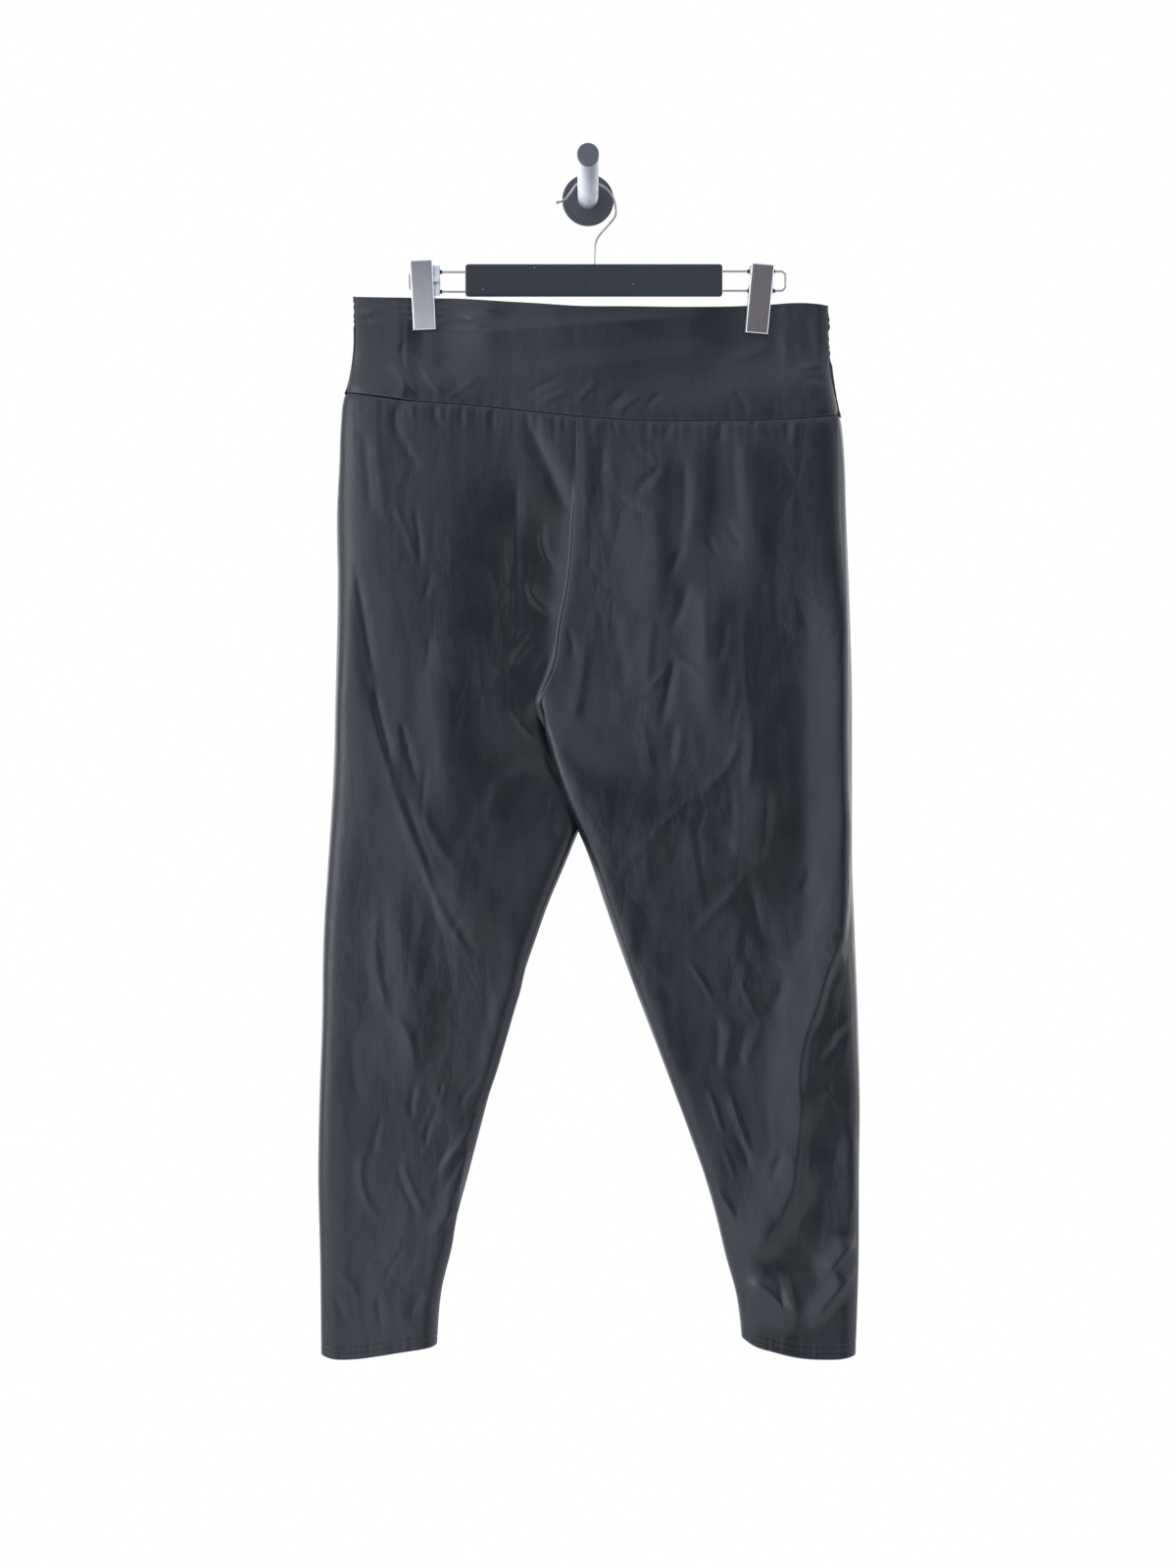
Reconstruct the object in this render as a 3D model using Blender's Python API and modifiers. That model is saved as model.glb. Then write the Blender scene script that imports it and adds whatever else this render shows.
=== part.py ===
"""Leggings held flat by a clip hanger that hangs on a wall peg.

Metres, +Z up. -Y faces the viewer and +X is the viewer's right; left and right below are the
viewer's. The origin is the centre of the wall plate's back face, on the wall.

The cloth is drawn from sections. Each leg is one panel that runs from the centre front seam
round the side to the centre back seam, and closes into a tube at the inseam below the crotch.
Heights on the cloth are drops below the middle of the waist's top edge.
"""

from collections import namedtuple
import math

import bmesh
import bpy
import numpy as np
from mathutils import Vector

MM = 0.001
GAP = 0.3 * MM  # left between pieces that touch

# ---------------------------------------------------------------- driving dimensions

HANG_Y = -27 * MM  # the plane in which the hook, the hanger and the cloth hang
WAIST_Z = -102.4 * MM  # the middle of the waist's top edge

BAND_THICK = 2.0 * MM  # the waistband is doubled cloth over elastic
LEG_THICK = 1.2 * MM
HEM_THICK = 2.1 * MM  # the leg's end is turned in and stitched

SEAM_DROP = 92.0 * MM  # waistband to legs, on average
CROTCH_DROP = 355.5 * MM
HEM_DROP = 942.5 * MM
HEM_TURN = 14.0 * MM

PLATE_RADIUS = 23.4 * MM
PLATE_DEPTH = 4.5 * MM
PEG_RADIUS = 9.2 * MM
PEG_REACH = 160.0 * MM  # wall to the front of the cap
CAP_LENGTH = 7.0 * MM

HOOK_WIRE = 1.0 * MM  # radius
HOOK_RADIUS = 25.0 * MM
LOOP_WIRE = 1.0 * MM  # radius
LOOP_CORNER = 4.5 * MM

BAR_MIDDLE_X = 5.3 * MM
BAR_WIDTH = 230.6 * MM
BAR_TOP_Z = -63.7 * MM
BAR_HEIGHT = 29.0 * MM
BAR_DEPTH = 7.0 * MM

CLIP_WIDTH = 20.4 * MM
CLIP_HEIGHT = 61.0 * MM
CLIP_SHEET = 1.0 * MM
CLIP_LIP = 1.5 * MM  # the plate's edges are turned in by this much
JAW_HEIGHT = 14.0 * MM  # the end of the plate that lies along the cloth
CLIP_SPREAD = 7.0 * MM  # how much further out the plate's top is than its jaw
PAD_THICK = 1.4 * MM
SLIDER_HALF_WIDTH = 10.4 * MM
SLIDER_WEB = 3.0 * MM  # half its depth where the wires run
SLIDER_RIB = 7.9 * MM  # half its depth where the plates rock
SLIDER_RIB_EDGE = 1.4 * MM  # half the rib's height
SLIDER_ABOVE_WIRE = 5.0 * MM
SLIDER_BELOW_WIRE = 3.2 * MM
PINCH_DEPTH = 2.6 * MM  # half the thickness of the cloth where a clip holds it

# ---------------------------------------------------------------- tables, in millimetres

Side = namedtuple("Side", "drop left right")
SIDE_FOLDS = (  # X of the two outer edges
    Side(-10, -209.4, 215.2),
    Side(2, -209.4, 215.4),
    Side(30, -209.0, 216.0),
    Side(58, -213.0, 218.2),
    Side(74, -217.0, 221.0),
    Side(86, -220.0, 223.6),
    Side(107, -221.9, 227.4),
    Side(140, -223.2, 230.2),
    Side(181, -225.2, 231.4),
    Side(252, -224.6, 234.1),
    Side(340, -226.2, 236.6),
    Side(428, -228.8, 236.8),
    Side(498, -233.2, 236.8),
    Side(568, -237.4, 239.4),
    Side(639, -238.6, 242.0),
    Side(709, -241.0, 243.6),
    Side(780, -242.0, 243.0),
    Side(850, -240.4, 242.8),
    Side(943, -239.4, 240.0),
)

Rise = namedtuple("Rise", "drop front back")
RISE_SEAMS = (  # X of the centre front and centre back seams, down to the crotch
    Rise(-10, -10.6, 2.0),
    Rise(98, -10.6, 0.0),
    Rise(181, -12.3, -5.0),
    Rise(249, -17.6, -13.0),
    Rise(287, -24.6, -18.5),
    Rise(325, -30.2, -29.0),
    Rise(355.5, -42.2, -42.2),
)

Inner = namedtuple("Inner", "drop left right")
INSEAMS = (  # X of each leg's inner edge; the right thigh laps in front of the left one
    Inner(355.5, -42.2, -42.2),
    Inner(368, -38.9, -38.9),
    Inner(380, -34.8, -35.8),
    Inner(395, -28.9, -31.6),
    Inner(428, -17.8, -20.8),
    Inner(450, -11.2, -14.0),
    Inner(467, -9.0, -8.6),
    Inner(480, -13.0, -4.2),
    Inner(498, -20.2, 2.6),
    Inner(533, -35.0, 14.4),
    Inner(568, -47.5, 26.6),
    Inner(604, -59.8, 39.6),
    Inner(674, -80.2, 66.4),
    Inner(744, -98.8, 92.4),
    Inner(780, -108.2, 105.0),
    Inner(815, -117.6, 115.0),
    Inner(850, -125.4, 123.4),
    Inner(885, -132.0, 133.0),
    Inner(943, -136.4, 139.4),
)

Depth = namedtuple("Depth", "drop front back left right")
DEPTHS = (  # how far each face stands off the hanging plane, and how flat each leg's middle is
    Depth(-10, 8.0, 8.0, 20, 20),
    Depth(40, 9.0, 9.5, 20, 20),
    Depth(92, 11.0, 12.0, 20, 18),
    Depth(180, 13.5, 15.5, 20, 18),
    Depth(280, 14.0, 17.0, 20, 18),
    Depth(355, 14.0, 16.5, 20, 18),
    Depth(450, 14.0, 15.0, 18, 16),
    Depth(620, 13.0, 13.5, 18, 20),
    Depth(780, 12.0, 12.0, 16, 16),
    Depth(943, 10.5, 10.5, 12, 10),
)

Edge = namedtuple("Edge", "x top seam")
WAIST_EDGES = (  # drops of the waistband's top edge and of its seam to the legs
    Edge(-222, -9.6, 76.6),
    Edge(-190, -8.6, 81.0),
    Edge(-150, -7.9, 86.2),
    Edge(-120, -7.6, 88.0),
    Edge(-88, -5.3, 90.4),
    Edge(-46, -2.6, 95.5),
    Edge(-12, -0.2, 99.0),
    Edge(40, 0.0, 102.6),
    Edge(105, 0.0, 103.2),
    Edge(150, -1.4, 102.8),
    Edge(195, -3.4, 100.8),
    Edge(230, 0.6, 97.4),
)

Hem = namedtuple("Hem", "across left right")
HEM_LIFTS = (  # how far the hem rises above its lowest point, from the inseam to the side
    Hem(0.0, 12.5, 19.0),
    Hem(0.1, 10.5, 12.5),
    Hem(0.25, 8.0, 7.6),
    Hem(0.5, 3.6, 1.6),
    Hem(0.7, 0.8, 0.2),
    Hem(0.9, 1.0, 1.2),
    Hem(1.0, 3.6, 3.4),
)

Lap = namedtuple("Lap", "drop shift left right")
THIGH_LAP = (  # how far the thighs shift to pass each other, and how far into each it is felt
    Lap(355.5, 0.0, 14, 14),
    Lap(364, 2.6, 20, 18),
    Lap(374, 5.2, 28, 24),
    Lap(390, 6.6, 38, 32),
    Lap(430, 6.4, 54, 60),
    Lap(466, 4.6, 60, 90),
    Lap(500, 1.4, 60, 100),
    Lap(530, 0.0, 60, 100),
)

Fold = namedtuple("Fold", "x drop by_x by_drop to_x to_drop left right rise")
FRONT_FOLDS = (  # through a point halfway; left and right are how wide each flank is
    Fold(-182, 120, -184, 320, -170, 520, 60, 100, 3.8),
    Fold(-24, 140, -27, 290, -44, 430, 56, 130, -10.0),
    Fold(-60, 100, -36, 150, -12, 196, 12, 8, -1.6),
    Fold(-206, 222, -197, 320, -174, 410, 8, 30, -1.2),
    Fold(-164, 422, -131, 506, -80, 576, 26, 34, 1.8),
    Fold(-168, 505, -160, 611, -148, 717, 22, 22, 2.4),
    Fold(64, 106, 60, 200, 58, 296, 22, 14, 2.3),
    Fold(90, 98, 95, 165, 90, 232, 15, 13, 1.9),
    Fold(134, 98, 148, 170, 150, 262, 24, 20, 2.8),
    Fold(108, 244, 114, 305, 108, 384, 16, 14, 2.0),
    Fold(148, 330, 158, 428, 148, 520, 24, 24, 3.2),
    Fold(184, 215, 186, 400, 190, 600, 38, 38, -4.2),
    Fold(240, 450, 206, 640, 186, 765, 32, 22, 5.0),
    Fold(190, 735, 172, 804, 130, 862, 25, 22, 5.0),
    Fold(240, 831, 226, 852, 208, 869, 16, 8, 3.2),
    Fold(240, 863, 220, 885, 197, 915, 14, 8, 3.0),
    Fold(137, 872, 163, 880, 182, 919, 26, 12, 3.4),
    Fold(-136, 730, -138, 850, -146, 1040, 56, 30, 3.0),
)
BACK_FOLDS = (
    Fold(-150, 110, -156, 190, -150, 280, 30, 24, 2.0),
    Fold(-84, 120, -90, 180, -84, 250, 24, 22, -2.2),
    Fold(0, 130, -6, 250, -36, 350, 34, 34, -4.5),
    Fold(78, 112, 84, 190, 76, 270, 26, 22, 2.0),
    Fold(150, 120, 144, 200, 152, 300, 26, 30, -2.0),
    Fold(206, 200, 212, 330, 204, 450, 26, 20, 2.6),
    Fold(-216, 230, -208, 350, -190, 460, 18, 24, 2.4),
    Fold(-40, 360, -84, 402, -150, 420, 16, 20, -2.6),
    Fold(36, 366, 92, 404, 160, 424, 18, 18, -2.6),
    Fold(-190, 470, -150, 540, -96, 590, 22, 26, 2.6),
    Fold(196, 480, 150, 548, 70, 596, 26, 22, 2.8),
    Fold(-200, 600, -176, 680, -160, 780, 22, 20, 2.6),
    Fold(204, 610, 186, 700, 172, 790, 20, 24, 2.8),
    Fold(-132, 690, -150, 780, -176, 850, 16, 18, -2.0),
    Fold(120, 680, 146, 770, 170, 846, 18, 16, -2.0),
)

# ---------------------------------------------------------------- curves through the tables


def curve_through(table, column):
    """A smooth curve through one column of a table, read at values of its first column."""
    at = np.array([row[0] for row in table], float)
    value = np.array([getattr(row, column) for row in table], float)
    slope = np.gradient(value, at)

    def read(where):
        where = np.clip(where, at[0], at[-1])
        i = np.clip(np.searchsorted(at, where) - 1, 0, len(at) - 2)
        step = at[i + 1] - at[i]
        t = (where - at[i]) / step
        start = (1 + 2 * t) * (1 - t) ** 2 * value[i] + t * (1 - t) ** 2 * step * slope[i]
        end = t**2 * (3 - 2 * t) * value[i + 1] - t**2 * (1 - t) * step * slope[i + 1]
        return start + end

    return read


SIDE_X = {side: curve_through(SIDE_FOLDS, side) for side in ("left", "right")}
INSEAM_X = {side: curve_through(INSEAMS, side) for side in ("left", "right")}
RISE_X = {face: curve_through(RISE_SEAMS, face) for face in ("front", "back")}
HALF_DEPTH = {face: curve_through(DEPTHS, face) for face in ("front", "back")}
FLATNESS = {side: curve_through(DEPTHS, side) for side in ("left", "right")}
TOP_EDGE = curve_through(WAIST_EDGES, "top")
SEAM_EDGE = curve_through(WAIST_EDGES, "seam")
HEM_LIFT = {side: curve_through(HEM_LIFTS, side) for side in ("left", "right")}
LAP_SHIFT = curve_through(THIGH_LAP, "shift")
LAP_REACH = {side: curve_through(THIGH_LAP, side) for side in ("left", "right")}

SEAM_MM, CROTCH_MM, HEM_MM = SEAM_DROP / MM, CROTCH_DROP / MM, HEM_DROP / MM
HEM_STITCH_MM = HEM_MM - HEM_TURN / MM


def smooth_step(value, low, high):
    """0 below low and 1 above high, with a smooth rise between them."""
    t = np.clip((value - low) / (high - low), 0, 1)
    return t * t * (3 - 2 * t)


# ---------------------------------------------------------------- the cloth's form

CLOSING = 165.0  # mm above the crotch in which the two thighs part
SEAM_FADE = 120.0  # mm below the seam in which the rows straighten
HEM_FADE = 150.0  # mm above the hem in which they follow it
PINCH_REACH = 62.0  # mm from a clip's middle to where the cloth is full again
PINCH_FLAT = 14.0
SIDE_HELD = 0.9  # of a clip's hold that is left between it and the side
CURVE_STEPS = 14  # straight parts in a fold's curve


def closing(drop):
    """0 where the garment is one wide tube, 1 from the crotch down, where each leg is its own."""
    share = np.clip((drop - (CROTCH_MM - CLOSING)) / CLOSING, 0, 1)
    return 1 - (1 - share**2) ** 1.5


def inner_x(side, face, drop):
    """X of a panel's inner edge: its rise seam above the crotch, and its inseam below."""
    return np.where(drop < CROTCH_MM, RISE_X[face](drop), INSEAM_X[side](drop))


def beside(line, x, drop):
    """Where places lie by a fold that curves through its middle point.

    Gives how far they are from it, as a share of its flank's width, and how far along it they are,
    from 0 to 1.
    """
    start, end = np.array([line.x, line.drop], float), np.array([line.to_x, line.to_drop], float)
    pull = 2 * np.array([line.by_x, line.by_drop], float) - (start + end) / 2
    t = np.linspace(0, 1, CURVE_STEPS + 1)[:, None]
    curve = start * (1 - t) ** 2 + pull * 2 * t * (1 - t) + end * t**2
    here = np.stack([x, drop], axis=1)[:, None]
    run = curve[1:] - curve[:-1]
    share = np.clip(((here - curve[:-1]) * run).sum(2) / (run**2).sum(1), 0, 1)
    gap = here - (curve[:-1] + share[..., None] * run)
    distance = np.hypot(gap[..., 0], gap[..., 1])
    best = distance.argmin(1)
    rows = np.arange(len(best))
    gap, share, run = gap[rows, best], share[rows, best], run[best]
    side_of = gap[:, 0] * run[:, 1] - gap[:, 1] * run[:, 0]
    off = distance[rows, best] / np.where(side_of > 0, line.right, line.left)
    return off, (best + share) / CURVE_STEPS


def relief(face, x, drop):
    """The folds' height above the plain form."""
    height = np.zeros_like(x)
    for fold in FRONT_FOLDS if face == "front" else BACK_FOLDS:
        reach = 2.4 * max(fold.left, fold.right)
        ends = (fold.drop - reach, fold.to_drop + reach)
        near = (drop > min(ends)) & (drop < max(ends))
        if not near.any():
            continue
        off, along = beside(fold, x[near], drop[near])
        fading = smooth_step(along, 0, 0.3) * (1 - smooth_step(along, 0.7, 1))
        height[near] += fold.rise * fading * np.exp(-(off**2))
    return height


def pinch(x, drop):
    """1 where a clip holds the cloth and 0 where it hangs free, as it does between the clips."""
    held = np.zeros_like(x)
    for clip in CLIPS:
        out = 1 if clip.jaw_x > 0 else -1
        across = 1 - smooth_step(abs(x - clip.jaw_x), PINCH_FLAT, PINCH_REACH)
        outside = SIDE_HELD * smooth_step(out * (x - clip.jaw_x), 0, PINCH_FLAT)
        down = 1 - smooth_step(drop, clip.jaw_drop + 4, clip.jaw_drop + 58)
        held = np.maximum(held, np.maximum(across, outside) * down)
    return held


def stand_off(side, face, share, x, drop):
    """How far the cloth's outer face is from the hanging plane, in millimetres."""
    full = HALF_DEPTH[face](drop)
    closed = closing(drop)
    place = abs(share * (1 + closed) - closed)
    crown = np.sqrt(np.clip(1 - place ** FLATNESS[side](drop), 0, 1))
    depth = full * crown + relief(face, x, drop) * crown
    held = pinch(x, drop) * smooth_step(crown, 0, 0.4)
    return depth * (1 - held) + PINCH_DEPTH / MM * held


def cloth_path(side, face, drop_at):
    """One row of a panel's face, from its inner edge to its side fold, as points in metres.

    drop_at(x, share) says how low the row lies.
    """
    share = (1 - np.cos(np.linspace(0, np.pi, 161))) / 2
    x = np.zeros_like(share)
    for _ in range(5):
        drop = drop_at(x, share)
        x = inner_x(side, face, drop) * (1 - share) + SIDE_X[side](drop) * share
    out = 1 if side == "right" else -1
    towards = -1 if face == "front" else 1
    near_inseam = np.exp(-(((x - x[0]) / LAP_REACH[side](drop)) ** 2))
    lap = -out * LAP_SHIFT(drop) * near_inseam * (drop > CROTCH_MM)
    y = towards * stand_off(side, face, share, x, drop) + lap
    x = x + out * GAP / MM / 2 * (1 - share)
    return np.stack([x * MM, HANG_Y + y * MM, WAIST_Z - drop * MM], axis=1)


def resampled(path, near_start, near_end, even_steps):
    """The path again, with points at given distances from its ends and even steps between."""
    along = np.concatenate([[0], np.cumsum(np.linalg.norm(np.diff(path, axis=0), axis=1))])
    first, last = [0, *near_start], [along[-1] - d for d in (*near_end[::-1], 0)]
    at = [*first[:-1], *np.linspace(first[-1], last[0], even_steps + 1), *last[1:]]
    return np.stack([np.interp(at, along, path[:, k]) for k in range(3)], axis=1)


def leg_drop(side, level):
    """How low a leg's row lies: along the waist seam at the top, along the hem at the end."""

    def drop_at(x, share):
        seam = (SEAM_EDGE(x) - SEAM_MM) * (1 - smooth_step(level, SEAM_MM, SEAM_MM + SEAM_FADE))
        hem = HEM_LIFT[side](share) * smooth_step(level, HEM_MM - HEM_FADE, HEM_STITCH_MM)
        return level + seam - hem

    return drop_at


def band_drop(level):
    """How low a row of the waistband lies, from 0 at its top edge to 1 at its seam."""
    return lambda x, share: TOP_EDGE(x) + (SEAM_EDGE(x) - GAP / MM - TOP_EDGE(x)) * level


# ---------------------------------------------------------------- making objects

PARTS = bpy.data.collections.new("leggings_on_hanger")
CUTTERS = bpy.data.collections.new("cutters")


def clear_scene():
    for thing in list(bpy.data.objects):
        bpy.data.objects.remove(thing, do_unlink=True)
    for group in (PARTS, CUTTERS):
        bpy.context.scene.collection.children.link(group)


def material(name, colour, roughness, metallic=0.0):
    made = bpy.data.materials.new(name)
    made.use_nodes = True
    shader = made.node_tree.nodes["Principled BSDF"]
    shader.inputs["Base Color"].default_value = (*colour, 1)
    shader.inputs["Roughness"].default_value = roughness
    shader.inputs["Metallic"].default_value = metallic
    made.diffuse_color = (*colour, 1)
    return made


COATED_CLOTH = material("coated_cloth", (0.040, 0.043, 0.053), 0.45)
BAND_CLOTH = material("band_cloth", (0.045, 0.048, 0.058), 0.45)
BRUSHED_STEEL = material("brushed_steel", (0.42, 0.41, 0.42), 0.38, 1.0)
CHROME = material("chrome", (0.75, 0.76, 0.78), 0.12, 1.0)
FLOCK = material("flock", (0.045, 0.047, 0.058), 0.95)
RUBBER = material("rubber", (0.03, 0.03, 0.03), 0.8)
BLACK_PLASTIC = material("black_plastic", (0.06, 0.063, 0.072), 0.4)


def add_object(name, data, finish, group=PARTS):
    made = bpy.data.objects.new(name, data)
    group.objects.link(made)
    data.materials.append(finish)
    return made


def mesh_object(name, points, faces, finish):
    mesh = bpy.data.meshes.new(name)
    mesh.from_pydata([tuple(p) for p in points], [], faces)
    return add_object(name, mesh, finish)


def shade_smooth(thing, sharp_degrees=35):
    thing.data.shade_smooth()
    thing.data.set_sharp_from_angle(angle=math.radians(sharp_degrees))


def add_solidify(thing, thickness):
    """A wall that grows inwards from the surface."""
    solid = thing.modifiers.new("wall", "SOLIDIFY")
    solid.thickness = thickness
    solid.offset = -1
    solid.use_even_offset = True
    solid.use_quality_normals = True
    return solid


def add_bevel(thing, width, segments=2):
    bevel = thing.modifiers.new("rounded_edges", "BEVEL")
    bevel.width = width
    bevel.segments = segments
    bevel.limit_method = "ANGLE"
    bevel.angle_limit = math.radians(40)
    return bevel


def wire(name, points, radius, finish):
    """A wire along points, with closed ends."""
    curve = bpy.data.curves.new(name, "CURVE")
    curve.dimensions = "3D"
    curve.bevel_depth = radius
    curve.bevel_resolution = 2
    curve.use_fill_caps = True
    spline = curve.splines.new("POLY")
    spline.points.add(len(points) - 1)
    for place, point in zip(spline.points, points):
        place.co = (*point, 1)
    return add_object(name, curve, finish)


def box(name, size, middle, finish):
    bm = bmesh.new()
    bmesh.ops.create_cube(bm, size=1)
    bmesh.ops.scale(bm, vec=size, verts=bm.verts)
    mesh = bpy.data.meshes.new(name)
    bm.to_mesh(mesh)
    bm.free()
    made = add_object(name, mesh, finish)
    made.location = middle
    return made


def rod(name, radius, length, middle, axis, finish, sides=48, group=PARTS):
    """A closed cylinder with its axis along X or Y."""
    bm = bmesh.new()
    bmesh.ops.create_cone(
        bm, cap_ends=True, segments=sides, radius1=radius, radius2=radius, depth=length
    )
    mesh = bpy.data.meshes.new(name)
    bm.to_mesh(mesh)
    bm.free()
    made = add_object(name, mesh, finish, group)
    turn = {"X": (0, math.pi / 2, 0), "Y": (math.pi / 2, 0, 0)}
    made.rotation_euler = turn[axis]
    made.location = middle
    return made


# ---------------------------------------------------------------- the leggings

NEAR_INSEAM = (1.5 * MM, 5 * MM, 12 * MM)  # columns that follow a leg's inner edge
NEAR_SIDE = (1.2 * MM, 4 * MM, 9.5 * MM, 19 * MM)  # and its outer fold
NEAR_SIDE_SEAM = (0.7 * MM, 2 * MM, 4.4 * MM, 9 * MM, 18 * MM)  # and the waistband's ends
LEG_STEPS = 7  # even columns between them, on a leg's front and on its back
BAND_STEPS = 7  # and on each half of a waistband piece
BAND_ROWS = 8
LEG_LEVELS = (  # closer together where the legs part, and at the hem's turning
    [SEAM_MM, 114, 142, 172, 204, 236, 266, 290, 310, 325, 336, 344, 350, 353.6]
    + [CROTCH_MM, 358, 363, 372, 386, 404, 426, 448, 467, 488, 512]
    + [544, 580, 620, 660, 700, 740, 780, 818, 854, 888]
    + [HEM_STITCH_MM - 0.8, HEM_STITCH_MM, HEM_MM - 6, HEM_MM]
)


def waistband(face):
    """One face of the doubled band, from side seam to side seam."""
    rows = []
    for level in np.linspace(0, 1, BAND_ROWS + 1):
        halves = []
        for side in ("left", "right"):
            path = cloth_path(side, face, band_drop(level))
            half = resampled(path, (), NEAR_SIDE_SEAM, BAND_STEPS)
            half[-1, 1] += GAP / 2 if face == "back" else -GAP / 2
            half[-2, 0] = half[-1, 0]
            halves.append(half)
        left, right = halves
        seam = (left[0] + right[0]) / 2
        rows.append(np.concatenate([left[:0:-1], [seam], right[1:]]))
    points = np.concatenate(rows)
    wide = len(rows[0])
    faces = []
    for r in range(BAND_ROWS):
        for c in range(wide - 1):
            a, b = r * wide + c, (r + 1) * wide + c
            quad = (a, b, b + 1, a + 1)
            faces.append(quad if face == "front" else quad[::-1])
    band = mesh_object(f"waistband_{face}", points, faces, BAND_CLOTH)
    add_solidify(band, BAND_THICK)
    shade_smooth(band)
    return band


def leg(side):
    """One panel: open at the rise above the crotch, and a tube from there to the hem."""
    out = 1 if side == "right" else -1
    points, numbers = [], []
    for level in LEG_LEVELS:
        halves = []
        for face in ("front", "back"):
            path = cloth_path(side, face, leg_drop(side, level))
            halves.append(resampled(path, NEAR_INSEAM, NEAR_SIDE, LEG_STEPS))
        front, back = halves
        ring = np.concatenate([front, back[-2::-1]])
        tube = level >= CROTCH_MM
        if tube:
            ring = ring[:-1]
        start = len(points)
        points.extend(ring)
        row = list(range(start, start + len(ring)))
        numbers.append(row + [start] if tube else row)
    faces = []
    for upper, lower in zip(numbers, numbers[1:]):
        for c in range(len(upper) - 1):
            quad = (upper[c], lower[c], lower[c + 1], upper[c + 1])
            faces.append(quad if out > 0 else quad[::-1])
    panel = mesh_object(f"leg_{side}", points, faces, COATED_CLOTH)
    wall = add_solidify(panel, HEM_THICK)
    wall.vertex_group = "wall"
    group = panel.vertex_groups.new(name="wall")
    for level, row in zip(LEG_LEVELS, numbers):
        doubled = level >= HEM_STITCH_MM
        group.add(row, 1.0 if doubled else LEG_THICK / HEM_THICK, "REPLACE")
    shade_smooth(panel)
    return panel


# ---------------------------------------------------------------- the hanger

Clip = namedtuple("Clip", "name x lean jaw_x jaw_drop slider_x")
CLIPS = (  # X of the plates at the wires, lean in degrees, where the jaw holds, X of the slider
    Clip("left", -148.4, -2.6, -146.6, 21.0, -143.4),
    Clip("right", 155.2, 5.0, 153.0, 24.2, 155.4),
)

Loop = namedtuple("Loop", "name end_x upper_z lower_z")
LOOPS = (  # the wire's two end loops, in millimetres
    Loop("left", -160.4, -70.7, -88.3),
    Loop("right", 177.2, -70.1, -87.5),
)
WIRES_Z = {loop.name: (loop.upper_z + loop.lower_z) / 2 * MM for loop in LOOPS}


def arc(middle, radius, start, end, steps):
    """Points round an arc in the hanging plane; angles in degrees, from +X towards +Z."""
    found = []
    for degrees in np.linspace(start, end, steps + 1):
        turn = math.radians(degrees)
        found.append(
            Vector(
                (
                    middle[0] + radius * math.cos(turn),
                    HANG_Y,
                    middle[1] + radius * math.sin(turn),
                )
            )
        )
    return found


def spline_through(points, steps):
    """A smooth line through points, with steps parts between each two."""
    padded = [2 * points[0] - points[1], *points, 2 * points[-1] - points[-2]]
    line = []
    for a, b, c, d in zip(padded, padded[1:], padded[2:], padded[3:]):
        for k in range(steps):
            t = k / steps
            line.append(
                0.5
                * (
                    2 * b
                    + (c - a) * t
                    + (2 * a - 5 * b + 4 * c - d) * t**2
                    + (3 * b - a - 3 * c + d) * t**3
                )
            )
    return [*line, points[-1]]


def hanger_bar():
    middle = (BAR_MIDDLE_X, HANG_Y, BAR_TOP_Z - BAR_HEIGHT / 2)
    bar = box("hanger_bar", (BAR_WIDTH, BAR_DEPTH, BAR_HEIGHT), middle, FLOCK)
    add_bevel(bar, 2.6 * MM, 3)
    shade_smooth(bar)


def hanger_loop(loop):
    """A wire that leaves the bar's end, turns round and comes back to it."""
    out = 1 if loop.name == "right" else -1
    start_x = BAR_MIDDLE_X + out * (BAR_WIDTH / 2 + GAP)
    corner_x = loop.end_x * MM - out * LOOP_CORNER
    upper, lower = loop.upper_z * MM, loop.lower_z * MM
    side, down = (0, -90) if out > 0 else (180, 270)
    top = arc((corner_x, upper - LOOP_CORNER), LOOP_CORNER, 90, side, 5)
    bottom = arc((corner_x, lower + LOOP_CORNER), LOOP_CORNER, side, down, 5)
    leaves = Vector((start_x, HANG_Y, upper))
    returns = Vector((start_x, HANG_Y, lower))
    wire(f"hanger_loop_{loop.name}", [leaves, *top, *bottom, returns], LOOP_WIRE, CHROME)


def hanger_hook():
    """The swan-neck hook: over the peg, down the right side, and into the bar's middle."""
    crown_z = PEG_RADIUS + GAP + HOOK_WIRE
    middle_z = crown_z - HOOK_RADIUS
    tip = [(-26.5, -8.0), (-22.6, -6.7), (-18.6, -3.2), (-13.8, 3.9)]
    neck = [(24.4, -21.0), (18.2, -28.9), (10.2, -38.0), (7.0, -44.6), (6.0, -54.0)]
    crown = arc((0, middle_z), HOOK_RADIUS, 111, 2, 4)
    left = [Vector((x * MM, HANG_Y, z * MM)) for x, z in tip]
    right = [Vector((x * MM, HANG_Y, z * MM)) for x, z in neck]
    foot = Vector((BAR_MIDDLE_X + 0.5 * MM, HANG_Y, BAR_TOP_Z + GAP))
    points = spline_through([*left, *crown, *right, foot], 4)
    wire("hanger_hook", points, HOOK_WIRE, CHROME)


def place_on_clip(thing, clip):
    """Stand a piece, made with the jaw's lower edge at its origin, on its leaning clip."""
    foot_z = WAIST_Z - clip.jaw_drop * MM
    lean = math.radians(clip.lean)
    rise = WIRES_Z[clip.name] - foot_z
    thing.location = (clip.x * MM - rise * math.sin(lean), HANG_Y, foot_z)
    thing.rotation_euler = (0, lean, 0)


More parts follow.
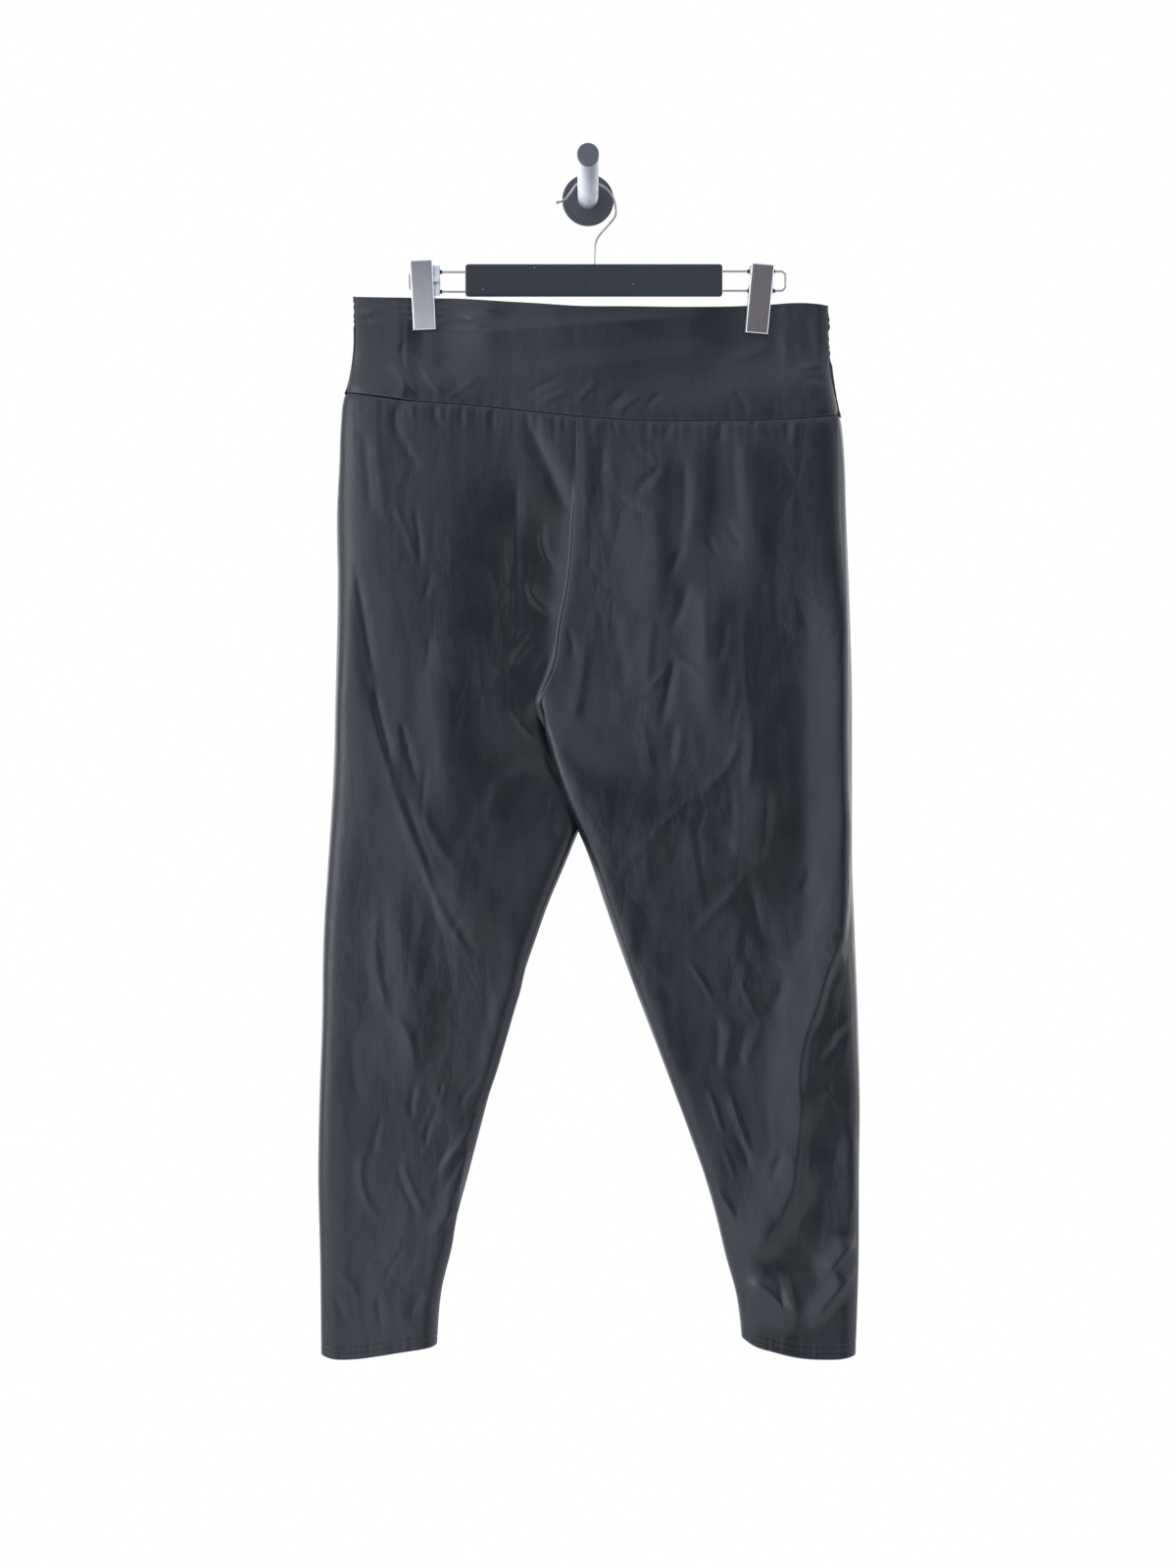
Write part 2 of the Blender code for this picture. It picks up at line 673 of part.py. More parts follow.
def clip_plate(clip, face):
    """A steel plate with its edges turned in: upright along the cloth, then spread to the top."""
    towards = -1 if face == "front" else 1
    half = CLIP_WIDTH / 2
    jaw_y = PINCH_DEPTH + GAP + PAD_THICK + GAP + CLIP_SHEET
    profile = ((0, jaw_y), (JAW_HEIGHT, jaw_y), (CLIP_HEIGHT, jaw_y + CLIP_SPREAD))
    across = ((-half, CLIP_LIP), (-half, 0), (half, 0), (half, CLIP_LIP))
    points = [(x, towards * (y - lip), height) for height, y in profile for x, lip in across]
    faces = []
    for row in range(len(profile) - 1):
        for column in range(len(across) - 1):
            a = row * len(across) + column
            quad = (a, a + 1, a + 1 + len(across), a + len(across))
            faces.append(quad if towards < 0 else quad[::-1])
    plate = mesh_object(f"clip_{clip.name}_plate_{face}", points, faces, BRUSHED_STEEL)
    place_on_clip(plate, clip)
    add_solidify(plate, CLIP_SHEET)
    add_bevel(plate, 0.3 * MM, 1)
    shade_smooth(plate)


def clip_pad(clip, face):
    """The rubber grip between a plate's jaw and the cloth."""
    towards = -1 if face == "front" else 1
    size = (CLIP_WIDTH - 2 * CLIP_SHEET - 1.6 * MM, PAD_THICK, JAW_HEIGHT - 4 * MM)
    pad = box(f"clip_{clip.name}_pad_{face}", size, (0, 0, 0), RUBBER)
    middle = Vector((0, towards * (PINCH_DEPTH + GAP + PAD_THICK / 2), JAW_HEIGHT / 2))
    for corner in pad.data.vertices:
        corner.co += middle
    place_on_clip(pad, clip)
    add_bevel(pad, 0.3 * MM, 1)


def clip_slider(clip, loop):
    """The body that the two wires run through and the plates rock on."""
    middle = WIRES_Z[clip.name]
    top = loop.upper_z * MM + SLIDER_ABOVE_WIRE
    bottom = loop.lower_z * MM - SLIDER_BELOW_WIRE
    back_half = (
        (SLIDER_WEB, bottom),
        (SLIDER_WEB, middle - 3 * SLIDER_RIB_EDGE),
        (SLIDER_RIB, middle - SLIDER_RIB_EDGE),
        (SLIDER_RIB, middle + SLIDER_RIB_EDGE),
        (SLIDER_WEB, middle + 3 * SLIDER_RIB_EDGE),
        (SLIDER_WEB, top),
    )
    outline = [*back_half, *[(-y, z) for y, z in reversed(back_half)]]
    curve = bpy.data.curves.new(f"clip_{clip.name}_outline", "CURVE")
    curve.dimensions = "2D"
    curve.fill_mode = "BOTH"
    curve.extrude = SLIDER_HALF_WIDTH
    spline = curve.splines.new("POLY")
    spline.use_cyclic_u = True
    spline.points.add(len(outline) - 1)
    for place, (y, z) in zip(spline.points, outline):
        place.co = (y, z, 0, 1)
    drawn = bpy.data.objects.new("outline", curve)
    CUTTERS.objects.link(drawn)
    drawn.rotation_euler = (math.pi / 2, 0, math.pi / 2)
    drawn.location = (clip.slider_x * MM, HANG_Y, 0)
    slider = meshed(drawn, f"clip_{clip.name}_slider", CHROME)
    for level in (loop.upper_z * MM, loop.lower_z * MM):
        hole = rod(
            f"clip_{clip.name}_wire_hole",
            LOOP_WIRE + GAP,
            4 * SLIDER_HALF_WIDTH,
            (clip.slider_x * MM, HANG_Y, level),
            "X",
            CHROME,
            sides=16,
            group=CUTTERS,
        )
        cut_with(slider, hole)
    shade_smooth(slider)


def meshed(drawn, name, finish):
    """A curve object as a closed mesh object in the same place; the curve is removed."""
    bpy.context.view_layer.update()
    seen = drawn.evaluated_get(bpy.context.evaluated_depsgraph_get())
    mesh = bpy.data.meshes.new_from_object(seen)
    mesh.name = name
    mesh.materials.clear()
    bm = bmesh.new()
    bm.from_mesh(mesh)
    bmesh.ops.remove_doubles(bm, verts=bm.verts, dist=0.01 * MM)
    bmesh.ops.recalc_face_normals(bm, faces=bm.faces)
    bm.to_mesh(mesh)
    bm.free()
    made = add_object(name, mesh, finish)
    made.matrix_world = drawn.matrix_world
    bpy.data.objects.remove(drawn, do_unlink=True)
    return made


def cut_with(thing, cutter):
    cutter.hide_render = True
    cutter.display_type = "WIRE"
    cut = thing.modifiers.new("hole", "BOOLEAN")
    cut.operation = "DIFFERENCE"
    cut.solver = "EXACT"
    cut.object = cutter


# ---------------------------------------------------------------- the wall peg


def wall_peg():
    plate = rod(
        "peg_plate",
        PLATE_RADIUS,
        PLATE_DEPTH,
        (0, -PLATE_DEPTH / 2, 0),
        "Y",
        BLACK_PLASTIC,
        sides=64,
    )
    add_bevel(plate, 0.8 * MM, 2)
    shade_smooth(plate)
    start = PLATE_DEPTH + GAP
    end = PEG_REACH - CAP_LENGTH - GAP
    middle = (0, -(start + end) / 2, 0)
    tube = rod("peg_rod", PEG_RADIUS, end - start, middle, "Y", BRUSHED_STEEL)
    shade_smooth(tube)
    cap_middle = (0, CAP_LENGTH / 2 - PEG_REACH, 0)
    cap = rod("peg_cap", PEG_RADIUS, CAP_LENGTH, cap_middle, "Y", BLACK_PLASTIC)
    add_bevel(cap, 1.0 * MM, 2)
    shade_smooth(cap)


def build():
    clear_scene()
    for face in ("front", "back"):
        waistband(face)
    for side in ("left", "right"):
        leg(side)
    hanger_bar()
    hanger_hook()
    for clip, loop in zip(CLIPS, LOOPS):
        hanger_loop(loop)
        clip_slider(clip, loop)
        for face in ("front", "back"):
            clip_plate(clip, face)
            clip_pad(clip, face)
    wall_peg()
    bpy.context.view_layer.update()


build()
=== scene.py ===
"""The looks of the leggings on their clip hanger: view, light, cloth, creases, stitching, finishes.

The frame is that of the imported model: -Y faces the viewer and +X is the viewer's right. Lengths are
in millimetres unless a comment says metres, and MM turns them into metres where a mesh is made.
Heights on the cloth are drops below the middle of the waist's edge.
"""

from collections import namedtuple
import math

import bpy
import numpy as np
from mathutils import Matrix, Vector, noise


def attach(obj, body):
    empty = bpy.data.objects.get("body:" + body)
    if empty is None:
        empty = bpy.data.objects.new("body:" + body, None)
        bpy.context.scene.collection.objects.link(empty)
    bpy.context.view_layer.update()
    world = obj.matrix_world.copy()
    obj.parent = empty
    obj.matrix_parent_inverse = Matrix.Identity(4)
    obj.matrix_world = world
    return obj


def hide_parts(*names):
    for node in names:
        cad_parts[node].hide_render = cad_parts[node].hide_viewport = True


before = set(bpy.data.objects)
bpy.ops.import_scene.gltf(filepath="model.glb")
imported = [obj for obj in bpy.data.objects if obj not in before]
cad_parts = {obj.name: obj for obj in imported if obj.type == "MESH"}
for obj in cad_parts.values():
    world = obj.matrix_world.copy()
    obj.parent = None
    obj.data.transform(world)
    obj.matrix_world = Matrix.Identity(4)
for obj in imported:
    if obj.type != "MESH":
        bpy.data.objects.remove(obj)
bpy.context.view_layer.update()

MM = 0.001
GAP = 0.3  # between pieces that touch
TOWARDS = {"front": -1, "back": 1}  # along Y
OUTWARDS = {"left": -1, "right": 1}  # along X

HANG_Y = -27.0  # the plane in which the hook, the hanger and the cloth hang
WAIST_Z = -102.4  # the middle of the waist's top edge

BAND_THICK = 2.0
LEG_THICK = 1.2
HEM_THICK = 2.1

SEAM_DROP = 92.0
CROTCH_DROP = 355.5
HEM_DROP = 942.5
HEM_STITCHING = 928.5  # from where the hem is double
PINCH_DEPTH = 2.6  # half the thickness of the cloth where a clip holds it

# ---------------------------------------------------------------- the cloth's tables


def table(columns, *rows):
    """Rows of numbers whose columns have names."""
    row = namedtuple("Row", columns)
    return [row(*numbers) for numbers in rows]


SIDE_FOLDS = table(  # X of the two outer edges
    "drop left right",
    (-10, -209.4, 215.2),
    (2, -209.4, 215.4),
    (30, -209.0, 216.0),
    (58, -213.0, 218.2),
    (74, -217.0, 221.0),
    (86, -220.0, 223.6),
    (107, -221.9, 227.4),
    (140, -223.2, 230.2),
    (181, -225.2, 231.4),
    (252, -224.6, 234.1),
    (340, -226.2, 236.6),
    (428, -228.8, 236.8),
    (498, -233.2, 236.8),
    (568, -237.4, 239.4),
    (639, -238.6, 242.0),
    (709, -241.0, 243.6),
    (780, -242.0, 243.0),
    (850, -240.4, 242.8),
    (943, -239.4, 240.0),
)

RISE_SEAMS = table(  # X of the centre front and centre back seams, down to the crotch
    "drop front back",
    (-10, -10.6, 2.0),
    (98, -10.6, 0.0),
    (181, -12.3, -5.0),
    (249, -17.6, -13.0),
    (287, -24.6, -18.5),
    (325, -30.2, -29.0),
    (355.5, -42.2, -42.2),
)

INSEAMS = table(  # X of each leg's inner edge; the right thigh laps in front of the left one
    "drop left right",
    (355.5, -42.2, -42.2),
    (368, -38.9, -38.9),
    (380, -34.8, -35.8),
    (395, -28.9, -31.6),
    (428, -17.8, -20.8),
    (450, -11.2, -14.0),
    (467, -9.0, -8.6),
    (480, -13.0, -4.2),
    (498, -20.2, 2.6),
    (533, -35.0, 14.4),
    (568, -47.5, 26.6),
    (604, -59.8, 39.6),
    (674, -80.2, 66.4),
    (744, -98.8, 92.4),
    (780, -108.2, 105.0),
    (815, -117.6, 115.0),
    (850, -125.4, 123.4),
    (885, -132.0, 133.0),
    (943, -136.4, 139.4),
)

DEPTHS = table(  # how far each face is off the hanging plane, and how flat each leg's middle is
    "drop front back left right",
    (-10, 8.0, 8.0, 20, 20),
    (40, 9.0, 9.5, 20, 20),
    (92, 11.0, 12.0, 20, 18),
    (180, 13.5, 15.5, 20, 18),
    (280, 14.0, 17.0, 20, 18),
    (355, 14.0, 16.5, 20, 18),
    (450, 14.0, 15.0, 18, 16),
    (620, 13.0, 13.5, 18, 20),
    (780, 12.0, 12.0, 16, 16),
    (943, 10.5, 10.5, 12, 10),
)

WAIST_EDGES = table(  # drops of the waistband's top edge and of its seam to the legs
    "x top seam",
    (-222, -9.6, 76.6),
    (-190, -8.6, 81.0),
    (-150, -7.9, 86.2),
    (-120, -7.6, 88.0),
    (-88, -5.3, 90.4),
    (-46, -2.6, 95.5),
    (-12, -0.2, 99.0),
    (40, 0.0, 102.6),
    (105, 0.0, 103.2),
    (150, -1.4, 102.8),
    (195, -3.4, 100.8),
    (230, 0.6, 97.4),
)

HEM_LIFTS = table(  # how far the hem rises above its lowest point, from the inseam to the side
    "across left right",
    (0.0, 12.5, 19.0),
    (0.1, 10.5, 12.5),
    (0.25, 8.0, 7.6),
    (0.5, 3.6, 1.6),
    (0.7, 0.8, 0.2),
    (0.9, 1.0, 1.2),
    (1.0, 3.6, 3.4),
)

THIGH_LAP = table(  # how far the thighs shift to pass each other, and how far it reaches into each
    "drop shift left right",
    (355.5, 0.0, 14, 14),
    (364, 2.6, 20, 18),
    (374, 5.2, 28, 24),
    (390, 6.6, 38, 32),
    (430, 6.4, 54, 60),
    (466, 4.6, 60, 90),
    (500, 1.4, 60, 100),
    (530, 0.0, 60, 100),
)

THIGHS_OVER = table(  # how far each thigh's inner edge runs past the other's
    "drop reach",
    (364, 0.0),
    (376, -2.4),
    (392, -3.4),
    (440, -3.4),
    (462, -1.6),
    (482, 0.0),
)

FOLD = "x drop by_x by_drop to_x to_drop left right rise"
FRONT_FOLDS = table(  # through a point halfway; left and right are how wide each flank is
    FOLD,
    (-182, 120, -184, 320, -170, 520, 60, 100, 3.8),
    (-24, 140, -27, 290, -44, 430, 56, 130, -10.0),
    (-60, 100, -36, 150, -12, 196, 12, 8, -1.6),
    (-206, 222, -197, 320, -174, 410, 8, 30, -1.2),
    (-164, 422, -131, 506, -80, 576, 26, 34, 1.8),
    (-168, 505, -160, 611, -148, 717, 22, 22, 2.4),
    (64, 106, 60, 200, 58, 296, 22, 14, 2.3),
    (90, 98, 95, 165, 90, 232, 15, 13, 1.9),
    (134, 98, 148, 170, 150, 262, 24, 20, 2.8),
    (108, 244, 114, 305, 108, 384, 16, 14, 2.0),
    (148, 330, 158, 428, 148, 520, 24, 24, 3.2),
    (184, 215, 186, 400, 190, 600, 38, 38, -4.2),
    (240, 450, 206, 640, 186, 765, 32, 22, 5.0),
    (190, 735, 172, 804, 130, 862, 25, 22, 5.0),
    (240, 831, 226, 852, 208, 869, 16, 8, 3.2),
    (240, 863, 220, 885, 197, 915, 14, 8, 3.0),
    (137, 872, 163, 880, 182, 919, 26, 12, 3.4),
    (-136, 730, -138, 850, -146, 1040, 56, 30, 3.0),
)
BACK_FOLDS = table(
    FOLD,
    (-150, 110, -156, 190, -150, 280, 30, 24, 2.0),
    (-84, 120, -90, 180, -84, 250, 24, 22, -2.2),
    (0, 130, -6, 250, -36, 350, 34, 34, -4.5),
    (78, 112, 84, 190, 76, 270, 26, 22, 2.0),
    (150, 120, 144, 200, 152, 300, 26, 30, -2.0),
    (206, 200, 212, 330, 204, 450, 26, 20, 2.6),
    (-216, 230, -208, 350, -190, 460, 18, 24, 2.4),
    (-40, 360, -84, 402, -150, 420, 16, 20, -2.6),
    (36, 366, 92, 404, 160, 424, 18, 18, -2.6),
    (-190, 470, -150, 540, -96, 590, 22, 26, 2.6),
    (196, 480, 150, 548, 70, 596, 26, 22, 2.8),
    (-200, 600, -176, 680, -160, 780, 22, 20, 2.6),
    (204, 610, 186, 700, 172, 790, 20, 24, 2.8),
    (-132, 690, -150, 780, -176, 850, 16, 18, -2.0),
    (120, 680, 146, 770, 170, 846, 18, 16, -2.0),
)

CLIPS = table(  # X at the wires, lean in degrees, the jaw's place, the slider's and its wires'
    "name x lean jaw_x jaw_drop slider_x upper_z lower_z",
    ("left", -148.4, -2.6, -146.6, 21.0, -143.4, -70.7, -88.3),
    ("right", 155.2, 5.0, 153.0, 24.2, 155.4, -70.1, -87.5),
)

CREASE = "x drop by_x by_drop to_x to_drop rise left right"
# A crease runs from one point past a second to a third, as high as rise over the cloth round it,
# and falls away within the width of each flank. Beside one that runs down, left and right are the
# viewer's; beside one that runs to the viewer's right, left is the flank below it and right above.
BAND_FRONT_CREASES = table(
    CREASE,
    (-84, -60, -84, 45, -72, 150, -1.8, 60, 66),
    (-162, -60, -162, 30, -170, 130, 2.0, 60, 14),
    (224, -70, 222, 60, 224, 190, 2.4, 60, 8),
    (92, -60, 92, 20, 96, 100, -3.0, 90, 50),
    (-206, 6, -176, 2, -140, 4, 1.7, 4, 7),
    (-208, 11, -174, 7, -140, 10, -1.2, 3, 3),
    (-204, 15, -174, 12, -140, 15, 1.2, 6, 4),
    (-158, 4, -112, 3, -72, 7, 1.8, 4, 7),
    (-158, 10, -122, 9, -102, 15, -1.3, 3, 3),
    (-158, 15, -116, 15, -84, 17, 1.5, 6, 4),
    (-148, 19, -110, 22, -84, 20, -0.7, 4, 3),
    (-153, 28, -40, 20, 130, 6, 1.7, 20, 12),
    (-114, 66, 0, 54, 144, 36, 0.6, 20, 16),
    (-162, 28, -166, 50, -149, 83, -0.9, 4, 5),
    (-156, 34, -153, 56, -140, 76, -0.6, 3, 5),
    (-178, 46, -167, 62, -152, 84, 0.7, 8, 5),
    (-149, 52, -140, 68, -128, 82, 0.6, 4, 9),
    (-140, 44, -122, 64, -112, 86, -1.1, 12, 18),
    (-128, 85, -114, 75, -96, 62, 0.4, 5, 5),
    (-54, 80, -40, 71, -22, 64, -0.5, 4, 5),
    (-46, 89, -31, 82, -16, 76, 0.5, 4, 4),
    (-13, 90, -2, 78, 11, 66, 0.4, 5, 5),
    (-208, 68, -190, 60, -172, 58, -0.5, 8, 10),
    (17, 92, 26, 84, 37, 75, -0.6, 5, 5),
    (24, 98, 36, 88, 49, 78, 0.5, 4, 5),
    (52, 94, 59, 84, 68, 79, -0.5, 4, 5),
    (132, 74, 137, 86, 145, 97, -0.5, 6, 6),
    (168, 30, 147, 42, 121, 48, 0.5, 10, 10),
    (170, 18, 177, 36, 180, 60, 0.3, 7, 9),
    (194, 4, 198, 28, 203, 54, -0.5, 10, 8),
    (186, 56, 199, 55, 212, 52, 0.6, 5, 6),
    (190, 68, 204, 66, 216, 71, -0.5, 5, 5),
)
LEG_FRONT_LEFT_CREASES = table(
    CREASE,
    (-84, 20, -72, 120, -60, 230, -1.8, 60, 34),
    (-14, 130, -38, 300, -26, 500, -5.0, 96, 30),
    (-112, 286, -124, 360, -112, 474, 2.2, 34, 50),
    (-129, 487, -98, 533, -58, 592, 0.8, 32, 26),
    (-191, 104, -186, 150, -178, 206, 0.7, 12, 8),
    (-200, 110, -197, 150, -193, 194, -0.5, 6, 6),
    (-167, 84, -173, 106, -164, 124, -0.9, 5, 7),
    (-168, 116, -161, 132, -149, 148, -0.8, 5, 7),
    (-132, 88, -137, 100, -124, 114, -0.8, 4, 5),
    (-115, 90, -113, 100, -114, 110, -0.4, 5, 5),
    (-90, 93, -87, 103, -82, 113, -0.4, 5, 5),
    (-60, 94, -42, 130, -14, 194, -1.0, 9, 14),
    (-64, 116, -56, 131, -45, 146, 0.4, 7, 6),
    (-176, 174, -165, 196, -153, 228, 0.5, 4, 5),
    (-156, 176, -151, 206, -149, 240, -0.7, 4, 5),
    (-138, 239, -143, 253, -145, 264, -0.6, 4, 4),
    (-62, 140, -64, 225, -62, 332, -1.3, 24, 9),
    (-39, 188, -40, 218, -25, 240, -1.2, 4, 7),
    (-54, 242, -46, 264, -24, 277, -1.7, 5, 9),
    (-46, 238, -38, 252, -24, 258, 0.6, 5, 5),
    (-209, 222, -199, 285, -188, 345, -1.0, 5, 8),
    (-191, 332, -184, 372, -171, 418, -0.9, 5, 7),
    (-197, 340, -186, 388, -166, 448, 0.6, 9, 5),
    (-167, 368, -161, 396, -149, 436, -1.0, 5, 7),
    (-142, 408, -147, 436, -146, 468, -0.6, 4, 5),
    (-142, 286, -142, 307, -146, 333, -0.4, 4, 4),
    (-166, 426, -152, 471, -137, 505, -0.6, 4, 4),
    (-150, 438, -138, 473, -107, 517, 0.8, 8, 8),
    (-173, 430, -161, 464, -139, 518, 0.8, 9, 5),
    (-104, 339, -114, 360, -119, 388, -0.6, 4, 5),
    (-45, 286, -62, 300, -78, 326, 0.8, 7, 5),
    (-46, 297, -59, 310, -71, 332, -0.9, 6, 6),
    (-33, 311, -45, 326, -56, 343, 0.7, 8, 6),
    (-70, 358, -60, 374, -46, 388, -0.6, 4, 4),
    (-89, 471, -78, 430, -38, 413, 1.1, 20, 14),
    (-40, 398, -30, 420, -18, 437, -0.8, 4, 5),
    (-152, 503, -143, 520, -133, 541, -0.5, 4, 4),
    (-150, 486, -131, 540, -88, 604, 0.8, 7, 6),
    (-186, 524, -188, 590, -172, 646, 0.9, 12, 8),
    (-176, 630, -158, 656, -156, 688, 0.9, 14, 6),
    (-54, 580, -72, 645, -92, 720, 3.2, 22, 4),
    (-151, 686, -140, 674, -119, 668, -0.8, 5, 5),
    (-150, 688, -157, 710, -155, 730, -0.8, 6, 5),
    (-134, 694, -131, 700, -135, 708, -0.6, 3, 3),
    (-94, 686, -107, 700, -116, 716, -0.6, 4, 5),
    (-90, 713, -104, 723, -118, 732, -0.7, 4, 5),
    (-132, 714, -142, 734, -145, 755, -0.6, 5, 5),
    (-97, 727, -118, 754, -140, 786, 0.9, 6, 5),
    (-100, 742, -117, 768, -133, 796, -0.9, 6, 6),
    (-106, 766, -116, 786, -128, 806, 0.5, 5, 5),
    (-166, 762, -157, 788, -142, 816, 0.6, 6, 5),
    (-172, 760, -162, 790, -148, 818, -0.6, 6, 5),
    (-195, 745, -202, 784, -182, 820, 0.6, 7, 6),
    (-181, 719, -189, 741, -191, 762, -0.5, 6, 5),
    (-113, 800, -128, 816, -142, 834, 1.2, 12, 6),
    (-100, 730, -118, 800, -130, 900, 2.8, 20, 4),
    (-182, 873, -175, 858, -163, 842, -0.4, 4, 4),
    (-226, 862, -212, 874, -202, 892, 0.4, 6, 6),
    (-228, 879, -220, 900, -210, 921, -0.5, 8, 8),
    (-188, 880, -186, 902, -181, 922, -0.7, 6, 7),
    (-146, 880, -155, 894, -159, 911, -0.9, 8, 9),
    (-204, 637, -210, 677, -201, 716, -0.4, 8, 9),
)
LEG_FRONT_RIGHT_CREASES = table(
    CREASE,
    (224, 20, 222, 140, 224, 270, 2.4, 60, 8),
    (228, 190, 229, 350, 229, 510, 4.8, 34, 5),
    (229, 410, 230, 510, 224, 600, 4.2, 38, 5),
    (229, 560, 212, 602, 199, 652, 3.4, 36, 6),
    (207, 618, 192, 664, 188, 716, 3.0, 32, 8),
    (191, 690, 188, 740, 182, 790, 2.6, 32, 12),
    (186, 762, 173, 808, 130, 862, 2.2, 32, 22),
    (-35, 366, -16, 430, 8, 492, 2.2, 4, 22),
    (0, 466, 24, 540, 50, 618, 2.4, 5, 26),
    (42, 596, 64, 654, 86, 714, 1.8, 5, 22),
    (12, 102, 13, 166, 14, 232, -0.9, 14, 9),
    (-3, 103, -2, 166, -4, 220, 0.5, 8, 8),
    (23, 102, 24, 110, 29, 119, -0.4, 4, 4),
    (46, 103, 48, 110, 50, 118, -0.5, 4, 4),
    (75, 103, 73, 110, 67, 119, -0.5, 4, 4),
    (117, 103, 118, 113, 116, 125, -0.6, 5, 5),
    (145, 103, 149, 111, 153, 121, -0.6, 4, 5),
    (161, 103, 160, 111, 163, 122, -0.5, 4, 4),
    (176, 103, 177, 113, 177, 126, -0.5, 5, 5),
    (36, 124, 50, 137, 66, 147, -0.6, 4, 6),
    (57, 118, 61, 133, 66, 147, -0.4, 3, 3),
    (66, 146, 54, 154, 40, 168, -1.1, 5, 8),
    (19, 160, 40, 182, 66, 192, -0.4, 3, 4),
    (85, 126, 87, 174, 82, 221, -0.8, 9, 7),
    (107, 100, 106, 152, 105, 206, 0.8, 16, 9),
    (130, 108, 131, 156, 136, 200, -0.7, 14, 9),
    (125, 195, 131, 207, 139, 218, -0.5, 4, 4),
    (107, 205, 110, 214, 115, 221, -0.7, 4, 4),
    (88, 215, 79, 226, 71, 248, -0.8, 6, 7),
    (88, 241, 84, 270, 69, 297, -0.9, 9, 7),
    (-11, 235, 3, 229, 16, 220, -0.5, 4, 4),
    (4, 243, 11, 246, 20, 250, -0.5, 5, 5),
    (170, 150, 168, 236, 172, 320, -0.7, 22, 14),
    (-20, 288, -14, 301, -15, 318, -0.7, 4, 4),
    (-1, 288, -7, 345, -21, 410, 0.8, 14, 8),
    (26, 269, 28, 305, 37, 353, -0.9, 20, 10),
    (59, 277, 56, 307, 52, 345, 0.7, 16, 6),
    (5, 326, 35, 350, 73, 326, 0.5, 4, 4),
    (73, 308, 87, 319, 105, 334, 0.7, 5, 5),
    (79, 314, 72, 342, 66, 380, -1.2, 6, 7),
    (52, 346, 64, 332, 76, 318, 0.6, 3, 4),
    (80, 371, 74, 398, 72, 430, -1.0, 16, 8),
    (48, 368, 54, 397, 60, 434, 0.7, 12, 6),
    (121, 276, 121, 301, 114, 326, -0.8, 14, 7),
    (140, 264, 141, 316, 145, 376, 0.9, 15, 7),
    (107, 249, 104, 288, 109, 326, 0.7, 14, 6),
    (130, 330, 131, 351, 123, 377, 0.5, 7, 5),
    (145, 362, 146, 402, 140, 440, 0.7, 9, 6),
    (136, 384, 122, 416, 90, 442, 0.9, 5, 4),
    (98, 434, 60, 472, 22, 514, 1.0, 5, 4),
    (128, 424, 128, 463, 125, 501, -0.8, 22, 7),
    (157, 420, 157, 466, 147, 516, 1.2, 22, 9),
    (90, 450, 95, 490, 104, 548, 0.7, 13, 6),
    (146, 504, 121, 534, 84, 570, 1.0, 7, 5),
    (144, 513, 150, 542, 158, 574, -1.1, 12, 13),
    (138, 538, 136, 563, 130, 596, 0.8, 18, 5),
    (88, 585, 101, 602, 114, 627, 0.6, 4, 4),
    (136, 601, 143, 620, 156, 644, 0.5, 5, 4),
    (176, 600, 169, 618, 159, 638, -1.0, 10, 11),
    (115, 630, 116, 659, 114, 686, -0.7, 9, 6),
    (128, 634, 126, 659, 119, 688, 0.8, 8, 6),
    (143, 634, 138, 657, 132, 682, -0.7, 7, 6),
    (157, 635, 149, 657, 139, 680, 0.6, 6, 5),
    (107, 699, 114, 718, 121, 743, 0.7, 5, 4),
    (126, 702, 134, 727, 147, 762, 1.0, 7, 5),
    (119, 749, 126, 764, 131, 782, 0.5, 5, 4),
    (131, 741, 140, 756, 144, 777, -0.8, 8, 5),
    (175, 752, 168, 768, 162, 784, -0.9, 5, 7),
    (112, 790, 123, 802, 132, 820, 1.0, 5, 6),
    (194, 806, 188, 826, 195, 850, -0.4, 6, 7),
    (239, 632, 224, 646, 210, 658, 0.9, 7, 5),
    (235, 645, 220, 662, 206, 680, -1.0, 6, 6),
    (211, 695, 218, 706, 227, 721, 0.6, 4, 4),
    (222, 557, 225, 569, 232, 583, -0.5, 4, 4),
    (200, 503, 195, 515, 189, 529, -0.8, 6, 7),
    (236, 726, 238, 780, 234, 838, 2.2, 18, 3),
    (138, 872, 166, 884, 186, 926, 2.4, 34, 9),
    (166, 850, 174, 900, 180, 962, 3.6, 44, 12),
    (242, 832, 223, 853, 205, 872, 1.9, 15, 4),
    (242, 860, 218, 886, 195, 918, 2.0, 15, 6),
    (236, 878, 221, 898, 207, 922, -0.8, 7, 9),
)

